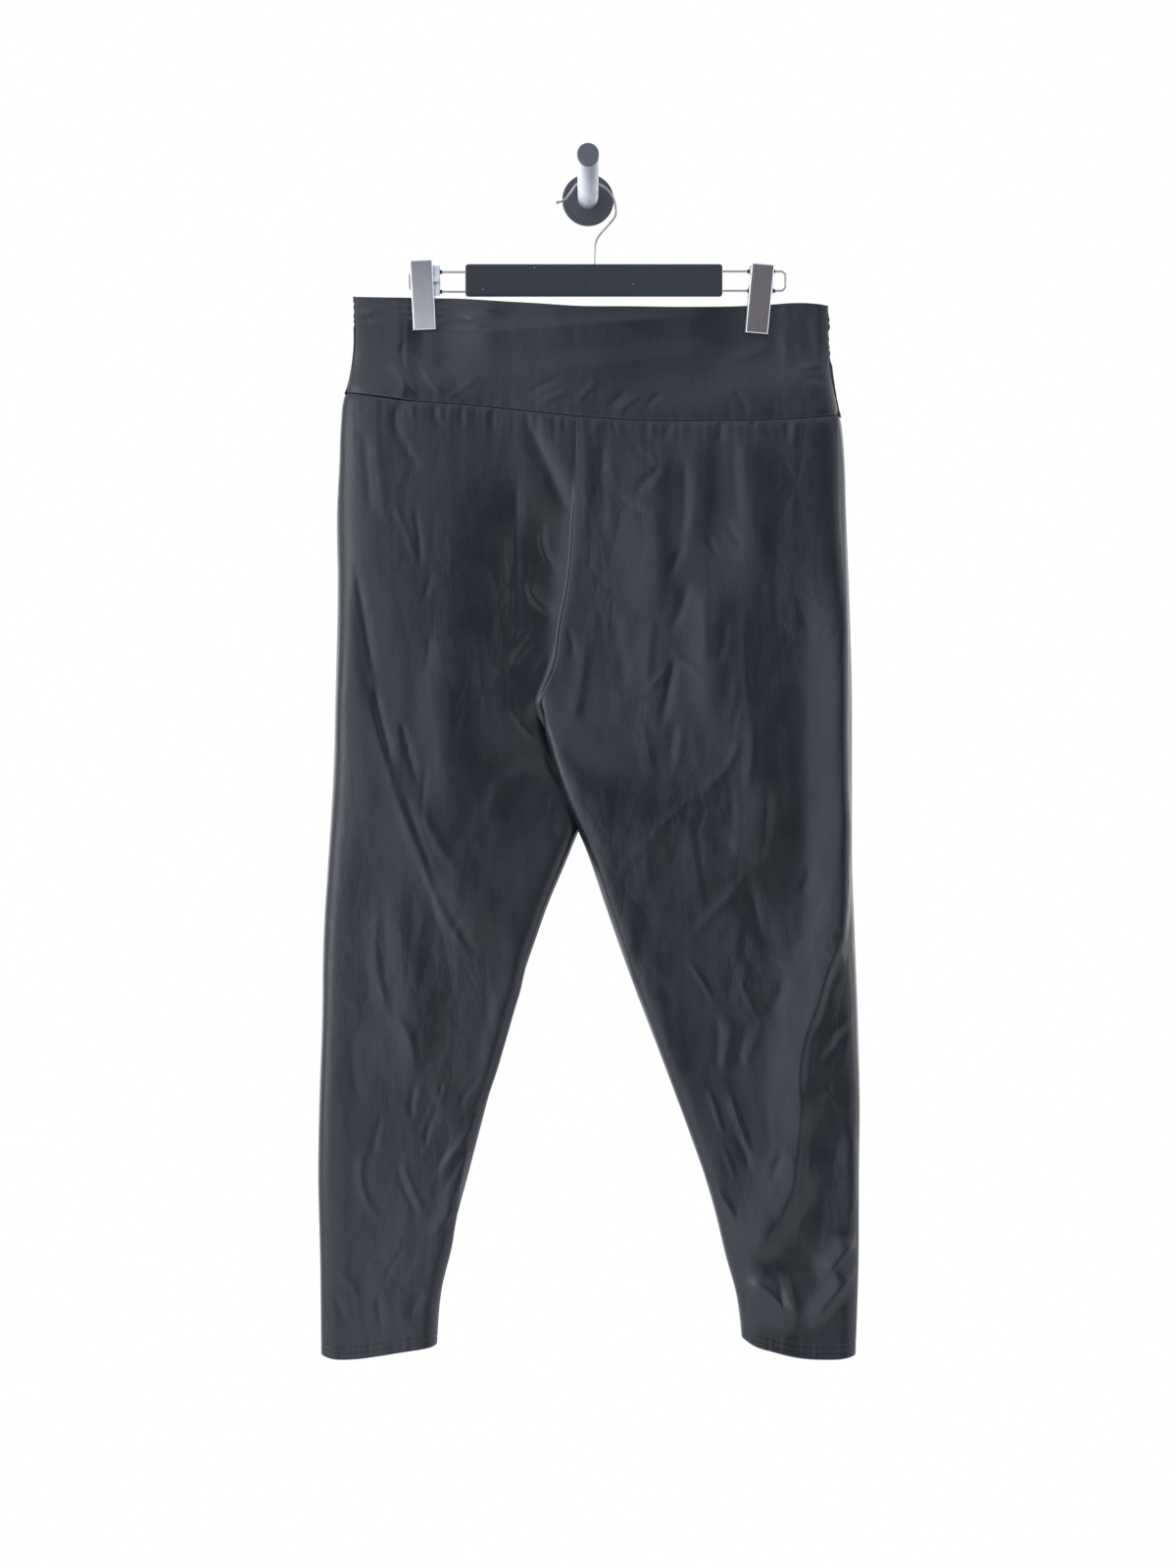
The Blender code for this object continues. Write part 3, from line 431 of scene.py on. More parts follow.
LEG_BACK_LEFT_CREASES = table(
    CREASE,
    (-60, 112, -64, 160, -58, 214, -1.0, 12, 9),
    (-118, 104, -112, 150, -120, 196, 0.9, 10, 12),
    (-170, 100, -168, 132, -176, 170, -0.8, 8, 7),
    (-198, 140, -190, 200, -194, 270, 0.9, 11, 8),
    (-22, 180, -34, 214, -58, 246, -1.2, 7, 9),
    (-30, 232, -52, 258, -84, 270, 1.1, 7, 8),
    (-46, 288, -74, 300, -102, 330, -1.1, 6, 8),
    (-52, 330, -84, 352, -126, 360, 1.2, 8, 7),
    (-96, 236, -104, 300, -98, 356, 0.8, 12, 10),
    (-150, 250, -142, 290, -146, 338, -0.7, 8, 6),
    (-58, 372, -92, 404, -140, 424, -1.3, 8, 10),
    (-70, 420, -108, 446, -150, 448, 1.0, 8, 6),
    (-206, 330, -198, 392, -184, 440, -1.0, 9, 8),
    (-214, 452, -190, 490, -150, 512, 1.2, 9, 7),
    (-205, 500, -180, 528, -138, 540, -1.1, 7, 8),
    (-120, 470, -104, 508, -78, 528, 0.9, 8, 9),
    (-96, 556, -128, 578, -172, 580, 1.1, 7, 8),
    (-90, 596, -126, 610, -160, 632, -1.2, 6, 8),
    (-212, 596, -186, 612, -150, 604, 0.8, 6, 5),
    (-204, 640, -178, 668, -166, 712, 1.1, 10, 8),
    (-126, 650, -134, 700, -128, 748, -0.9, 9, 8),
    (-150, 716, -166, 742, -190, 756, 1.0, 6, 7),
    (-216, 742, -196, 770, -186, 812, -0.9, 8, 7),
    (-140, 772, -158, 800, -164, 838, 1.0, 7, 8),
    (-172, 828, -184, 852, -206, 868, -0.8, 6, 6),
    (-148, 862, -156, 884, -152, 908, 0.7, 6, 6),
    (-220, 872, -210, 892, -212, 914, 0.7, 6, 7),
)

LEG_BACK_RIGHT_CREASES = table(
    CREASE,
    (40, 108, 46, 168, 38, 226, 0.9, 12, 10),
    (96, 106, 90, 140, 98, 186, -0.9, 8, 10),
    (136, 112, 142, 172, 134, 240, 0.8, 13, 9),
    (188, 106, 194, 160, 190, 222, -0.9, 10, 9),
    (22, 214, 44, 244, 76, 262, -1.1, 8, 7),
    (10, 262, 38, 282, 68, 286, 1.0, 7, 6),
    (8, 318, 50, 322, 96, 346, -1.2, 7, 8),
    (24, 352, 66, 376, 120, 384, 1.3, 8, 8),
    (112, 254, 120, 306, 112, 350, 0.8, 10, 12),
    (166, 270, 160, 330, 168, 392, -0.9, 12, 8),
    (20, 396, 58, 430, 112, 440, -1.2, 9, 8),
    (44, 452, 86, 470, 130, 462, 1.0, 7, 7),
    (214, 380, 204, 432, 186, 470, -1.0, 8, 9),
    (218, 478, 190, 510, 150, 528, 1.1, 8, 8),
    (206, 530, 172, 552, 128, 556, -1.2, 8, 7),
    (52, 512, 84, 540, 122, 584, 0.9, 9, 8),
    (216, 574, 184, 590, 140, 584, 1.0, 6, 8),
    (78, 600, 112, 612, 154, 606, -1.1, 7, 6),
    (92, 632, 126, 650, 150, 680, 0.9, 8, 7),
    (214, 636, 196, 676, 190, 724, -1.0, 9, 8),
    (128, 700, 140, 738, 136, 780, 0.9, 8, 9),
    (168, 716, 182, 744, 208, 758, 1.0, 7, 6),
    (150, 790, 168, 806, 194, 808, -1.0, 6, 7),
    (220, 776, 206, 812, 210, 850, 0.8, 8, 7),
    (150, 836, 158, 864, 152, 896, -0.8, 7, 6),
    (184, 852, 192, 878, 186, 906, 0.8, 7, 7),
)

BAND_BACK_CREASES = table(
    CREASE,
    (-196, 18, -150, 30, -96, 26, 0.9, 9, 7),
    (-120, 48, -60, 40, 6, 48, -0.8, 8, 9),
    (-70, 14, -20, 22, 40, 16, 0.8, 8, 8),
    (34, 60, 90, 50, 150, 58, 0.9, 9, 9),
    (96, 20, 140, 30, 190, 24, -0.8, 8, 7),
    (-178, 82, -166, 68, -150, 56, -0.8, 5, 6),
    (-106, 84, -98, 72, -86, 64, 0.7, 5, 5),
    (-40, 90, -32, 78, -34, 66, -0.7, 5, 5),
    (28, 94, 36, 84, 50, 76, 0.7, 5, 4),
    (112, 94, 104, 82, 96, 74, -0.7, 5, 5),
    (178, 92, 170, 80, 172, 66, 0.7, 5, 6),
    (204, 20, 200, 44, 208, 66, -0.8, 7, 6),
)


def curve_through(rows, column):
    """A smooth curve through one column of a table, read at values of its first column."""
    at = np.array([row[0] for row in rows], float)
    value = np.array([getattr(row, column) for row in rows], float)
    slope = np.gradient(value, at)

    def read(where):
        where = np.clip(where, at[0], at[-1])
        i = np.clip(np.searchsorted(at, where) - 1, 0, len(at) - 2)
        step = at[i + 1] - at[i]
        t = (where - at[i]) / step
        start = (1 + 2 * t) * (1 - t) ** 2 * value[i] + t * (1 - t) ** 2 * step * slope[i]
        end = t**2 * (3 - 2 * t) * value[i + 1] - t**2 * (1 - t) * step * slope[i + 1]
        return start + end

    return read


def curves(rows):
    """The curves through all of a table's columns but the first, by name."""
    return {column: curve_through(rows, column) for column in rows[0]._fields[1:]}


SIDE_X = curves(SIDE_FOLDS)
INSEAM_X = curves(INSEAMS)
RISE_X = curves(RISE_SEAMS)
STAND_OFF = curves(DEPTHS)
BAND_EDGE = curves(WAIST_EDGES)
HEM_LIFT = curves(HEM_LIFTS)
LAP = curves(THIGH_LAP)
THIGH_OVER = curve_through(THIGHS_OVER, "reach")
FOLDS = {"front": FRONT_FOLDS, "back": BACK_FOLDS}
LEG_CREASES = {
    ("left", "front"): LEG_FRONT_LEFT_CREASES,
    ("right", "front"): LEG_FRONT_RIGHT_CREASES,
    ("left", "back"): LEG_BACK_LEFT_CREASES,
    ("right", "back"): LEG_BACK_RIGHT_CREASES,
}
BAND_CREASES = {"front": BAND_FRONT_CREASES, "back": BAND_BACK_CREASES}


def smooth_step(value, low, high):
    """0 below low and 1 above high, with a smooth rise between them."""
    t = np.clip((value - low) / (high - low), 0, 1)
    return t * t * (3 - 2 * t)


def run_along(points):
    """How far along a line each of its points lies."""
    return np.concatenate([[0], np.cumsum(np.linalg.norm(np.diff(points, axis=0), axis=1))])


def read_at(where, along, rows):
    """Values between the rows of an array, at places along it."""
    return np.stack([np.interp(where, along, column) for column in rows.T], axis=-1)


# ---------------------------------------------------------------- the cloth's form

CLOSING = 165.0  # above the crotch, in which the two thighs part
CLOSING_CURVE = 1.5  # how sudden the parting is just above the crotch
SEAM_FADE = 120.0  # below the seam, in which the rows straighten
HEM_FADE = 150.0  # above the hem, in which they follow it
PINCH_FLAT = 14.0  # from a clip's middle, held fully
PINCH_REACH = 62.0  # from there to where the cloth is full again
PINCH_DROPS = (4, 58)  # below the jaw, between which the hold fades
PINCH_CROWN = 0.4  # of the cloth's fullness, above which a clip holds it fully
SIDE_HELD = 0.9  # of a clip's hold that is left between it and the side
CURVE_STEPS = 14  # straight parts in the curve of a fold or a crease
LINE_ENDS = 0.3  # of a fold's or a crease's length, over which each end fades
FOLD_REACH = 2.4  # widths from its line, beyond which a fold isn't felt
PATH_STEPS = 240  # in one row of a panel's face
PATH_ROUNDS = 5  # in which a row's drop and its X settle
OVER_FADE = 12  # how fast the thighs' overlap ends away from the inseam
SEAM_OVERLAP = 0.12  # how far each panel runs into its seam


def closing(drop):
    """0 where the garment is one wide tube, 1 from the crotch down, where each leg is its own."""
    share = np.clip((drop - (CROTCH_DROP - CLOSING)) / CLOSING, 0, 1)
    return 1 - (1 - share**2) ** CLOSING_CURVE


def inner_x(side, face, drop):
    """X of a panel's inner edge: its rise seam above the crotch, and its inseam below."""
    return np.where(drop < CROTCH_DROP, RISE_X[face](drop), INSEAM_X[side](drop))


def beside(line, x, drop):
    """Where places lie by a fold or a crease that curves through its middle point.

    Gives how far they are from it, as a share of its flank's width, and how far along it they are,
    from 0 to 1.
    """
    start, end = np.array([line.x, line.drop], float), np.array([line.to_x, line.to_drop], float)
    pull = 2 * np.array([line.by_x, line.by_drop], float) - (start + end) / 2
    t = np.linspace(0, 1, CURVE_STEPS + 1)[:, None]
    curve = start * (1 - t) ** 2 + pull * 2 * t * (1 - t) + end * t**2
    here = np.stack([x, drop], axis=1)[:, None]
    run = curve[1:] - curve[:-1]
    share = np.clip(((here - curve[:-1]) * run).sum(2) / (run**2).sum(1), 0, 1)
    gap = here - (curve[:-1] + share[..., None] * run)
    distance = np.hypot(gap[..., 0], gap[..., 1])
    best = distance.argmin(1)
    rows = np.arange(len(best))
    gap, share, run = gap[rows, best], share[rows, best], run[best]
    side_of = gap[:, 0] * run[:, 1] - gap[:, 1] * run[:, 0]
    off = distance[rows, best] / np.where(side_of > 0, line.right, line.left)
    return off, (best + share) / CURVE_STEPS


def fading(along):
    """1 along most of a line, and 0 at both of its ends."""
    return smooth_step(along, 0, LINE_ENDS) * (1 - smooth_step(along, 1 - LINE_ENDS, 1))


def relief(face, x, drop):
    """The folds' height above the plain form."""
    height = np.zeros_like(x)
    for fold in FOLDS[face]:
        reach = FOLD_REACH * max(fold.left, fold.right)
        ends = (fold.drop - reach, fold.to_drop + reach)
        near = (drop > min(ends)) & (drop < max(ends))
        if near.any():
            off, along = beside(fold, x[near], drop[near])
            height[near] += fold.rise * fading(along) * np.exp(-(off**2))
    return height


def pinch(x, drop):
    """1 where a clip holds the cloth and 0 where it hangs free, as it does between the clips."""
    held = np.zeros_like(x)
    for clip in CLIPS:
        off = x - clip.jaw_x
        across = 1 - smooth_step(abs(off), PINCH_FLAT, PINCH_REACH)
        outside = SIDE_HELD * smooth_step(OUTWARDS[clip.name] * off, 0, PINCH_FLAT)
        down = 1 - smooth_step(drop - clip.jaw_drop, *PINCH_DROPS)
        held = np.maximum(held, np.maximum(across, outside) * down)
    return held


def stand_off(side, face, share, x, drop):
    """How far the cloth's outer face is from the hanging plane."""
    closed = closing(drop)
    place = abs(share * (1 + closed) - closed)
    crown = np.sqrt(np.clip(1 - place ** STAND_OFF[side](drop), 0, 1))
    depth = (STAND_OFF[face](drop) + relief(face, x, drop)) * crown
    held = pinch(x, drop) * smooth_step(crown, 0, PINCH_CROWN)
    return depth * (1 - held) + PINCH_DEPTH * held


def cloth_path(side, face, drop_at):
    """One row of a panel's face, from its inner edge to its side fold.

    drop_at(x, share) says how low the row lies. Each point is X, Y, Z and its place on the flat
    garment: x, drop and share.
    """
    share = (1 - np.cos(np.linspace(0, np.pi, PATH_STEPS + 1))) / 2
    x = np.zeros_like(share)
    for _ in range(PATH_ROUNDS):
        drop = drop_at(x, share)
        x = inner_x(side, face, drop) * (1 - share) + SIDE_X[side](drop) * share
    out = OUTWARDS[side]
    near_inseam = np.exp(-(((x - x[0]) / LAP[side](drop)) ** 2))
    lap = -out * LAP["shift"](drop) * near_inseam * (drop > CROTCH_DROP)
    y = HANG_Y + TOWARDS[face] * stand_off(side, face, share, x, drop) + lap
    placed_x = x + out * (THIGH_OVER(drop) - SEAM_OVERLAP) * (1 - share) ** OVER_FADE
    return np.stack([placed_x, y, WAIST_Z - drop, x, drop, share], axis=1)


def resampled(path, near_start, near_end, even_steps):
    """The path again, with points at given distances from its ends and even steps between.

    Each row gains its distances from the path's start and from its end.
    """
    along = run_along(path[:, :3])
    first, last = [0, *near_start], [along[-1] - d for d in (*near_end[::-1], 0)]
    at = np.array([*first[:-1], *np.linspace(first[-1], last[0], even_steps + 1), *last[1:]])
    return np.column_stack([read_at(at, along, path), at, along[-1] - at])


def leg_drop(side, level):
    """How low a leg's row lies: along the waist seam at the top, along the hem at the end."""

    def drop_at(x, share):
        seam = BAND_EDGE["seam"](x) - SEAM_DROP
        seam = seam * (1 - smooth_step(level, SEAM_DROP, SEAM_DROP + SEAM_FADE))
        hem = HEM_LIFT[side](share) * smooth_step(level, HEM_DROP - HEM_FADE, HEM_STITCHING)
        return level + seam - hem

    return drop_at


def band_drop(level):
    """How low a row of the waistband lies, from 0 at its top edge to 1 at its seam."""

    def drop_at(x, share):
        top = BAND_EDGE["top"](x)
        return top + (BAND_EDGE["seam"](x) - GAP - top) * level

    return drop_at


# ---------------------------------------------------------------- creases, seams, unevenness

SHARPNESS = 1.4  # of a narrow crease's flanks: 1 is a roof with straight sides
BROAD = 24  # a crease with both flanks wider than this is a round swell
CREASE_REACH = 1.5  # widths from its line, beyond which a crease isn't looked at
SLIT_WIDTH = 0.4
SOFT_WIDTH = 3.2

Ripple = namedtuple("Ripple", "rise across down seed")  # how high, how long each way, and which
DRAPE = Ripple(0.3, 26, 120, 3.1)
CRUMPLE = Ripple(0.2, 14, 30, 23.1)
FACETS = Ripple(0.35, 26, 62, 33.1)
GATHERS = Ripple(1.1, 5.5, 40, 43.1)
COCKLE = Ripple(0.25, 4.2, 1, 63.1)
BAND_DRAPE = {"front": Ripple(0.35, 60, 22, 51.3), "back": Ripple(0.35, 60, 22, 77.1)}
BAND_TUCKS = {"front": Ripple(0.35, 7, 30, 60.3), "back": Ripple(0.35, 7, 30, 86.1)}

FACET_WARP = (0.7, 0.6)  # how fine and how strong the bending of the facets' lines is
FACET_HEIGHT = (2.4, -1.1)  # what brings them to about -1 to 1


def flank(off, crease):
    """How much of a crease's height is left, off its line by a share of its flank's width."""
    off = np.clip(off, 0, 1)
    if min(crease.left, crease.right) > BROAD:
        return (1 - off**2) ** 2
    return (1 - off) ** SHARPNESS


def creased(creases, x, drop):
    """The height of all the creases in a table, at places on the flat garment."""
    height = np.zeros_like(x)
    for crease in creases:
        across = (crease.x, crease.by_x, crease.to_x)
        down = (crease.drop, crease.by_drop, crease.to_drop)
        reach = CREASE_REACH * max(crease.left, crease.right)
        near = (x > min(across) - reach) & (x < max(across) + reach)
        near &= (drop > min(down) - reach) & (drop < max(down) + reach)
        off, along = beside(crease, x[near], drop[near])
        height[near] += crease.rise * fading(along) * flank(off, crease)
    return height


def groove(distance, depth, width):
    """The dip along a line, such as a row of stitches."""
    return depth * np.exp(-((distance / width) ** 2))


def seam_dip(distance, slit, soft):
    """The dip into a seam: a narrow slit, and the soft roll of the cloth beside it."""
    return groove(distance, slit, SLIT_WIDTH) + groove(distance, soft, SOFT_WIDTH)


def rounding(distance, radius):
    """How far a surface has sunk at a distance from the rounded edge that it ends in."""
    left = radius - np.clip(distance, 0, radius)
    return radius - np.sqrt(radius**2 - left**2)


def unevenness(x, drop, ripple):
    """Smooth noise that is longer one way than the other."""
    across, down = x / ripple.across, drop / ripple.down
    values = [noise.noise(Vector((a, b, ripple.seed))) for a, b in zip(across, down)]
    return ripple.rise * np.array(values)


def crumpled(x, drop, ripple):
    """Facets with crisp ridges between them, as in creased coated cloth."""
    fine, strong = FACET_WARP
    gain, middle = FACET_HEIGHT
    height = []
    for a, b in zip(x / ripple.across, drop / ripple.down):
        place = Vector((a, b, ripple.seed))
        place += noise.noise_vector(place * fine) * strong
        height.append(gain * noise.voronoi(place)[0][0] + middle)
    return ripple.rise * np.array(height)


# ---------------------------------------------------------------- making pieces


def new_piece(name, data, finishes, replaces=()):
    """A piece of the object on its body, in place of the CAD nodes named."""
    piece = bpy.data.objects.new(name, data)
    bpy.context.scene.collection.objects.link(piece)
    for finish in finishes:
        data.materials.append(finish)
    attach(piece, "root")
    if replaces:
        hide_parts(*replaces)
    return piece


def drawn_mesh(name, points, faces, smooth=None):
    """A mesh from millimetres; smooth says of each face if it is shaded so, or else all are."""
    mesh = bpy.data.meshes.new(name)
    mesh.from_pydata((np.array(points) * MM).tolist(), [], faces)
    mesh.polygons.foreach_set("use_smooth", smooth or [True] * len(faces))
    return mesh


def woven(rows, flipped):
    """The quads between rows of point numbers."""
    faces = []
    for upper, lower in zip(rows, rows[1:]):
        for c in range(len(upper) - 1):
            quad = (upper[c], lower[c], lower[c + 1], upper[c + 1])
            faces.append(quad[::-1] if flipped else quad)
    return faces


def grid(rows, flipped):
    """The quads of rows that are all as long, with their points numbered one after another."""
    wide = len(rows[0])
    return woven([range(r * wide, (r + 1) * wide) for r in range(len(rows))], flipped)


def add_rings(points, faces, rings, across, third, sides):
    """Adds a closed form of round rings; each ring is its middle and its radius."""
    start = len(points)
    turns = 2 * np.pi * np.arange(sides) / sides
    spokes = np.outer(np.cos(turns), across) + np.outer(np.sin(turns), third)
    for middle, radius in rings:
        points.extend(middle + spokes * radius)
    rows = [[start + r * sides + k % sides for k in range(sides + 1)] for r in range(len(rings))]
    faces += [*woven(rows, True), tuple(rows[0][-2::-1]), tuple(rows[-1][:-1])]


def vertex_normals(points, faces):
    """The normals at the points of a mesh."""
    mesh = bpy.data.meshes.new("measured")
    mesh.from_pydata(points.tolist(), [], faces)
    found = np.empty(len(points) * 3)
    mesh.vertex_normals.foreach_get("vector", found)
    bpy.data.meshes.remove(mesh)
    return found.reshape(-1, 3)


def free_edges(faces):
    """The directed edges that only one face has."""
    edges = {(a, b) for face in faces for a, b in zip(face, (*face[1:], face[0]))}
    return [edge for edge in edges if (edge[1], edge[0]) not in edges]


def thick_shell(name, points, faces, rise, thickness, sink, finishes, replaces):
    """A closed wall of cloth or sheet, and its outer points and normals.

    rise moves the outer face out along its normals; the inner face lies thickness under it; and
    sink draws both towards the middle of the wall where it ends in a rounded edge.
    """
    points = points + vertex_normals(points, faces) * rise[:, None]
    normals = vertex_normals(points, faces)
    outer = points - normals * sink[:, None]
    inner = points - normals * (thickness - sink)[:, None]
    count = len(points)
    walls = [tuple(v + count for v in reversed(face)) for face in faces]
    rims = [(b, a, a + count, b + count) for a, b in sorted(free_edges(faces))]
    mesh = drawn_mesh(name, np.concatenate([outer, inner]), faces + walls + rims)
    piece = new_piece(name, mesh, finishes, replaces)
    inside = [0] * len(faces) + [1] * len(walls) + [0] * len(rims)
    mesh.polygons.foreach_set("material_index", inside)
    return piece, outer, normals


# ---------------------------------------------------------------- finishes


class Nodes:
    """Adds nodes to the tree of a new material or world, and joins them."""

    def __init__(self, name, kind="materials"):
        self.owner = getattr(bpy.data, kind).new(name)
        self.owner.use_nodes = True
        self.tree = self.owner.node_tree
        self.places = self.add("ShaderNodeTexCoord").outputs

    def feed(self, socket, value):
        if isinstance(value, bpy.types.NodeSocket):
            self.tree.links.new(value, socket)
        else:
            socket.default_value = value

    def fill(self, node, inputs):
        for name, value in inputs.items():
            self.feed(node.inputs[name.replace("_", " ")], value)
        return node

    def add(self, kind, **inputs):
        return self.fill(self.tree.nodes.new(kind), inputs)

    def finished(self, **inputs):
        """The material, with these inputs of its shader set."""
        self.fill(self.tree.nodes["Principled BSDF"], inputs)
        return self.owner

    def stretched(self, scale, turn=(0, 0, 0)):
        place = self.places["Object"]
        node = self.add("ShaderNodeMapping", Vector=place, Scale=scale, Rotation=turn)
        return node.outputs["Vector"]

    def noise(self, scale, detail=3.0, roughness=0.5, vector=None):
        vector = vector or self.places["Object"]
        node = self.add("ShaderNodeTexNoise", Vector=vector, Scale=scale)
        self.fill(node, {"Detail": detail, "Roughness": roughness})
        return node.outputs["Fac"]

    def maths(self, operation, *values):
        node = self.add("ShaderNodeMath")
        node.operation = operation
        for socket, value in zip(node.inputs, values):
            self.feed(socket, value)
        return node.outputs[0]

    def facets(self, scale, vector):
        """Flat facets that meet in crisp lines, as in cloth that has been crumpled."""
        node = self.add("ShaderNodeTexVoronoi", Vector=vector, Scale=scale)
        node.feature = "DISTANCE_TO_EDGE"
        return node.outputs["Distance"]

    def warped(self, scale, amount, vector):
        """Places pushed about by noise."""
        node = self.add("ShaderNodeTexNoise", Vector=vector, Scale=scale, Detail=1.0)
        push = self.add("ShaderNodeVectorMath")
        push.operation = "MULTIPLY_ADD"
        for socket, value in zip(push.inputs, (node.outputs["Color"], (amount,) * 3, vector)):
            self.feed(socket, value)
        return push.outputs["Vector"]

    def between(self, value, low, high, low_out=0, high_out=1, kind="LINEAR"):
        node = self.add("ShaderNodeMapRange")
        node.interpolation_type = kind
        for socket, part in zip(node.inputs, (value, low, high, low_out, high_out)):
            self.feed(socket, part)
        return node.outputs["Result"]

    def mixed(self, share, first, second):
        """A colour between two, each a socket or three numbers."""
        node = self.add("ShaderNodeMix")
        node.data_type = "RGBA"
        self.feed(node.inputs[0], share)
        for k, colour in ((6, first), (7, second)):
            given = isinstance(colour, bpy.types.NodeSocket)
            self.feed(node.inputs[k], colour if given else (*colour, 1))
        return node.outputs[2]

    def bump(self, height, depth, strength=1.0, under=None):
        """Relief of a depth in millimetres, on top of another."""
        node = self.add("ShaderNodeBump", Height=height, Distance=depth * MM, Strength=strength)
        if under is not None:
            self.feed(node.inputs["Normal"], under)
        return node.outputs["Normal"]


GRAIN_RANGE = (0.3, 0.7)  # between which nearly all of a noise's values lie
PLATE_SHADE_HEIGHTS = (-0.118, -0.064)  # metres; the heights between which a clip's plate is painted darker towards its top, a painted shade


def coated_cloth(name, cool, warm, crumple):
    """Stretch cloth with a satin coat: a fine grain, and patches that are cooler or warmer."""
    n = Nodes(name)
    patches = n.noise(9, 2, 0.5, n.stretched((1.4, 1, 0.55)))
    grain = n.noise(1400, 2, 0.6)
    ripple = n.noise(70, 3, 0.55, n.stretched((1.6, 1, 0.6), (0, 0.3, 0)))
    upright = n.stretched((1.7, 1, 0.8), (0, 0.45, 0))
    leaning = n.stretched((1.5, 1, 0.8), (0, -0.5, 0))
    shown = n.between(n.noise(7, 2, 0.5, upright), 0.42, 0.62, 0.15, 1)
    large = n.maths("MULTIPLY", n.facets(22, n.warped(9, 0.05, upright)), shown)
    small = n.maths("MULTIPLY", n.facets(50, n.warped(22, 0.03, leaning)), shown)
    creases = n.bump(large, crumple, 1.0, n.bump(small, 0.3 * crumple))
    return n.finished(
        Base_Color=n.mixed(n.between(patches, 0.35, 0.65), cool, warm),
        Roughness=n.between(n.noise(35), *GRAIN_RANGE, 0.29, 0.36),
        Specular_IOR_Level=0.68,
        Normal=n.bump(grain, 0.05, 0.5, n.bump(ripple, 0.4, 0.5, creases)),
    )


def flock():
    """Short velvet pile with a few pale specks of lint."""
    n = Nodes("flock")
    pile = n.noise(1900, 3, 0.7)
    specks = n.between(n.noise(260, 0), 0.845, 0.875)
    dark = n.mixed(pile, (0.025, 0.027, 0.035), (0.046, 0.049, 0.060))
    return n.finished(
        Base_Color=n.mixed(specks, dark, (0.3, 0.3, 0.33)),
        Roughness=0.95,
        Specular_IOR_Level=0.15,
        Sheen_Weight=0.15,
        Sheen_Roughness=0.6,
        Normal=n.bump(pile, 0.35, 0.8),
    )


def grained(name, dark, light, grain, gloss, relief, stretch=(1, 1, 1), turn=(0, 0, 0), **more):
    """A finish whose grain shows in its colour, its gloss and its relief."""
    n = Nodes(name)
    lines = n.noise(*grain, n.stretched(stretch, turn))
    return n.finished(
        Base_Color=n.mixed(lines, dark, light),
        Roughness=n.between(lines, *GRAIN_RANGE, *gloss),
        Normal=n.bump(lines, *relief),
        **more,
    )


def brushed_metal(name, dark, light, roughness, stretch=(1, 1, 0.02)):
    gloss = (roughness - 0.06, roughness + 0.08)
    grain, relief = (2600, 2, 0.6), (0.03, 0.5)
    return grained(name, dark, light, grain, gloss, relief, stretch, Metallic=1.0)


def pressed_steel(name, low, high, top):
    """Brushed steel whose colour is painted darker towards the plate's top, to the colour top, as
    painted shade.
    """
    n = Nodes(name)
    lines = n.noise(2600, 2, 0.6, n.stretched((1, 1, 0.02)))
    clouds = n.noise(90, 3, 0.6)
    height = n.add("ShaderNodeSeparateXYZ", Vector=n.places["Object"]).outputs["Z"]
    brushed = n.mixed(lines, low, high)
    clouded = n.mixed(n.between(clouds, 0.35, 0.7, 0, 0.25), brushed, low)
    return n.finished(
        # painted shade: the colour turns to top over the plate's upper part
        Base_Color=n.mixed(n.between(height, *PLATE_SHADE_HEIGHTS), clouded, top),
        Metallic=1.0,
        Roughness=n.between(lines, *GRAIN_RANGE, 0.32, 0.46),
        Normal=n.bump(lines, 0.03, 0.5, n.bump(clouds, 0.05, 0.5)),
    )


def moulded_plastic(name, low, high):
    n = Nodes(name)
    grain = n.noise(1500, 2, 0.6)
    return n.finished(
        Base_Color=n.mixed(n.noise(60), low, high),
        Roughness=n.between(grain, *GRAIN_RANGE, 0.42, 0.56),
        Normal=n.bump(grain, 0.04, 0.5),
    )


LEG_CLOTH = coated_cloth("leg_cloth", (0.0068, 0.0084, 0.0125), (0.0080, 0.0086, 0.0115), 1.2)
BAND_CLOTH = coated_cloth("band_cloth", (0.0080, 0.0100, 0.0145), (0.0090, 0.0102, 0.0140), 0.5)
BACKING = grained(
    "knit_backing", (0.012, 0.013, 0.016), (0.03, 0.031, 0.036), (900, 2, 0.5), (0.9, 0.9),
    (0.2, 0.6), (1, 1, 0.4), Sheen_Weight=0.2,
)
THREAD = grained(
    "thread", (0.010, 0.011, 0.013), (0.022, 0.023, 0.028), (2200, 1, 0.5), (0.6, 0.6),
    (0.1, 0.6), (1, 1, 0.5), (0.6, 0.4, 0),
)
RUBBER = grained(
    "rubber", (0.02, 0.02, 0.02), (0.04, 0.04, 0.042), (1100, 2, 0.6), (0.8, 0.8), (0.1, 0.6)
)
WIRE = grained(
    "polished_wire", (0.30, 0.29, 0.29), (0.44, 0.43, 0.44), (240, 3, 0.6), (0.16, 0.28),
    (0.02, 0.3), Metallic=1.0,
)
# Painted light: both clips' plates are one steel, the left painted lighter as if lit and the right
# darker as if shaded; each third colour is the painted shade at the plate's top.
LIT_AND_SHADED_PLATE_STEEL = {
    "left": pressed_steel(
        "left_steel_painted_lit", (0.48, 0.46, 0.43), (0.67, 0.65, 0.61), (0.33, 0.32, 0.32)
    ),
    "right": pressed_steel(
        "right_steel_painted_shade", (0.22, 0.19, 0.18), (0.31, 0.27, 0.26), (0.24, 0.22, 0.22)
    ),
}
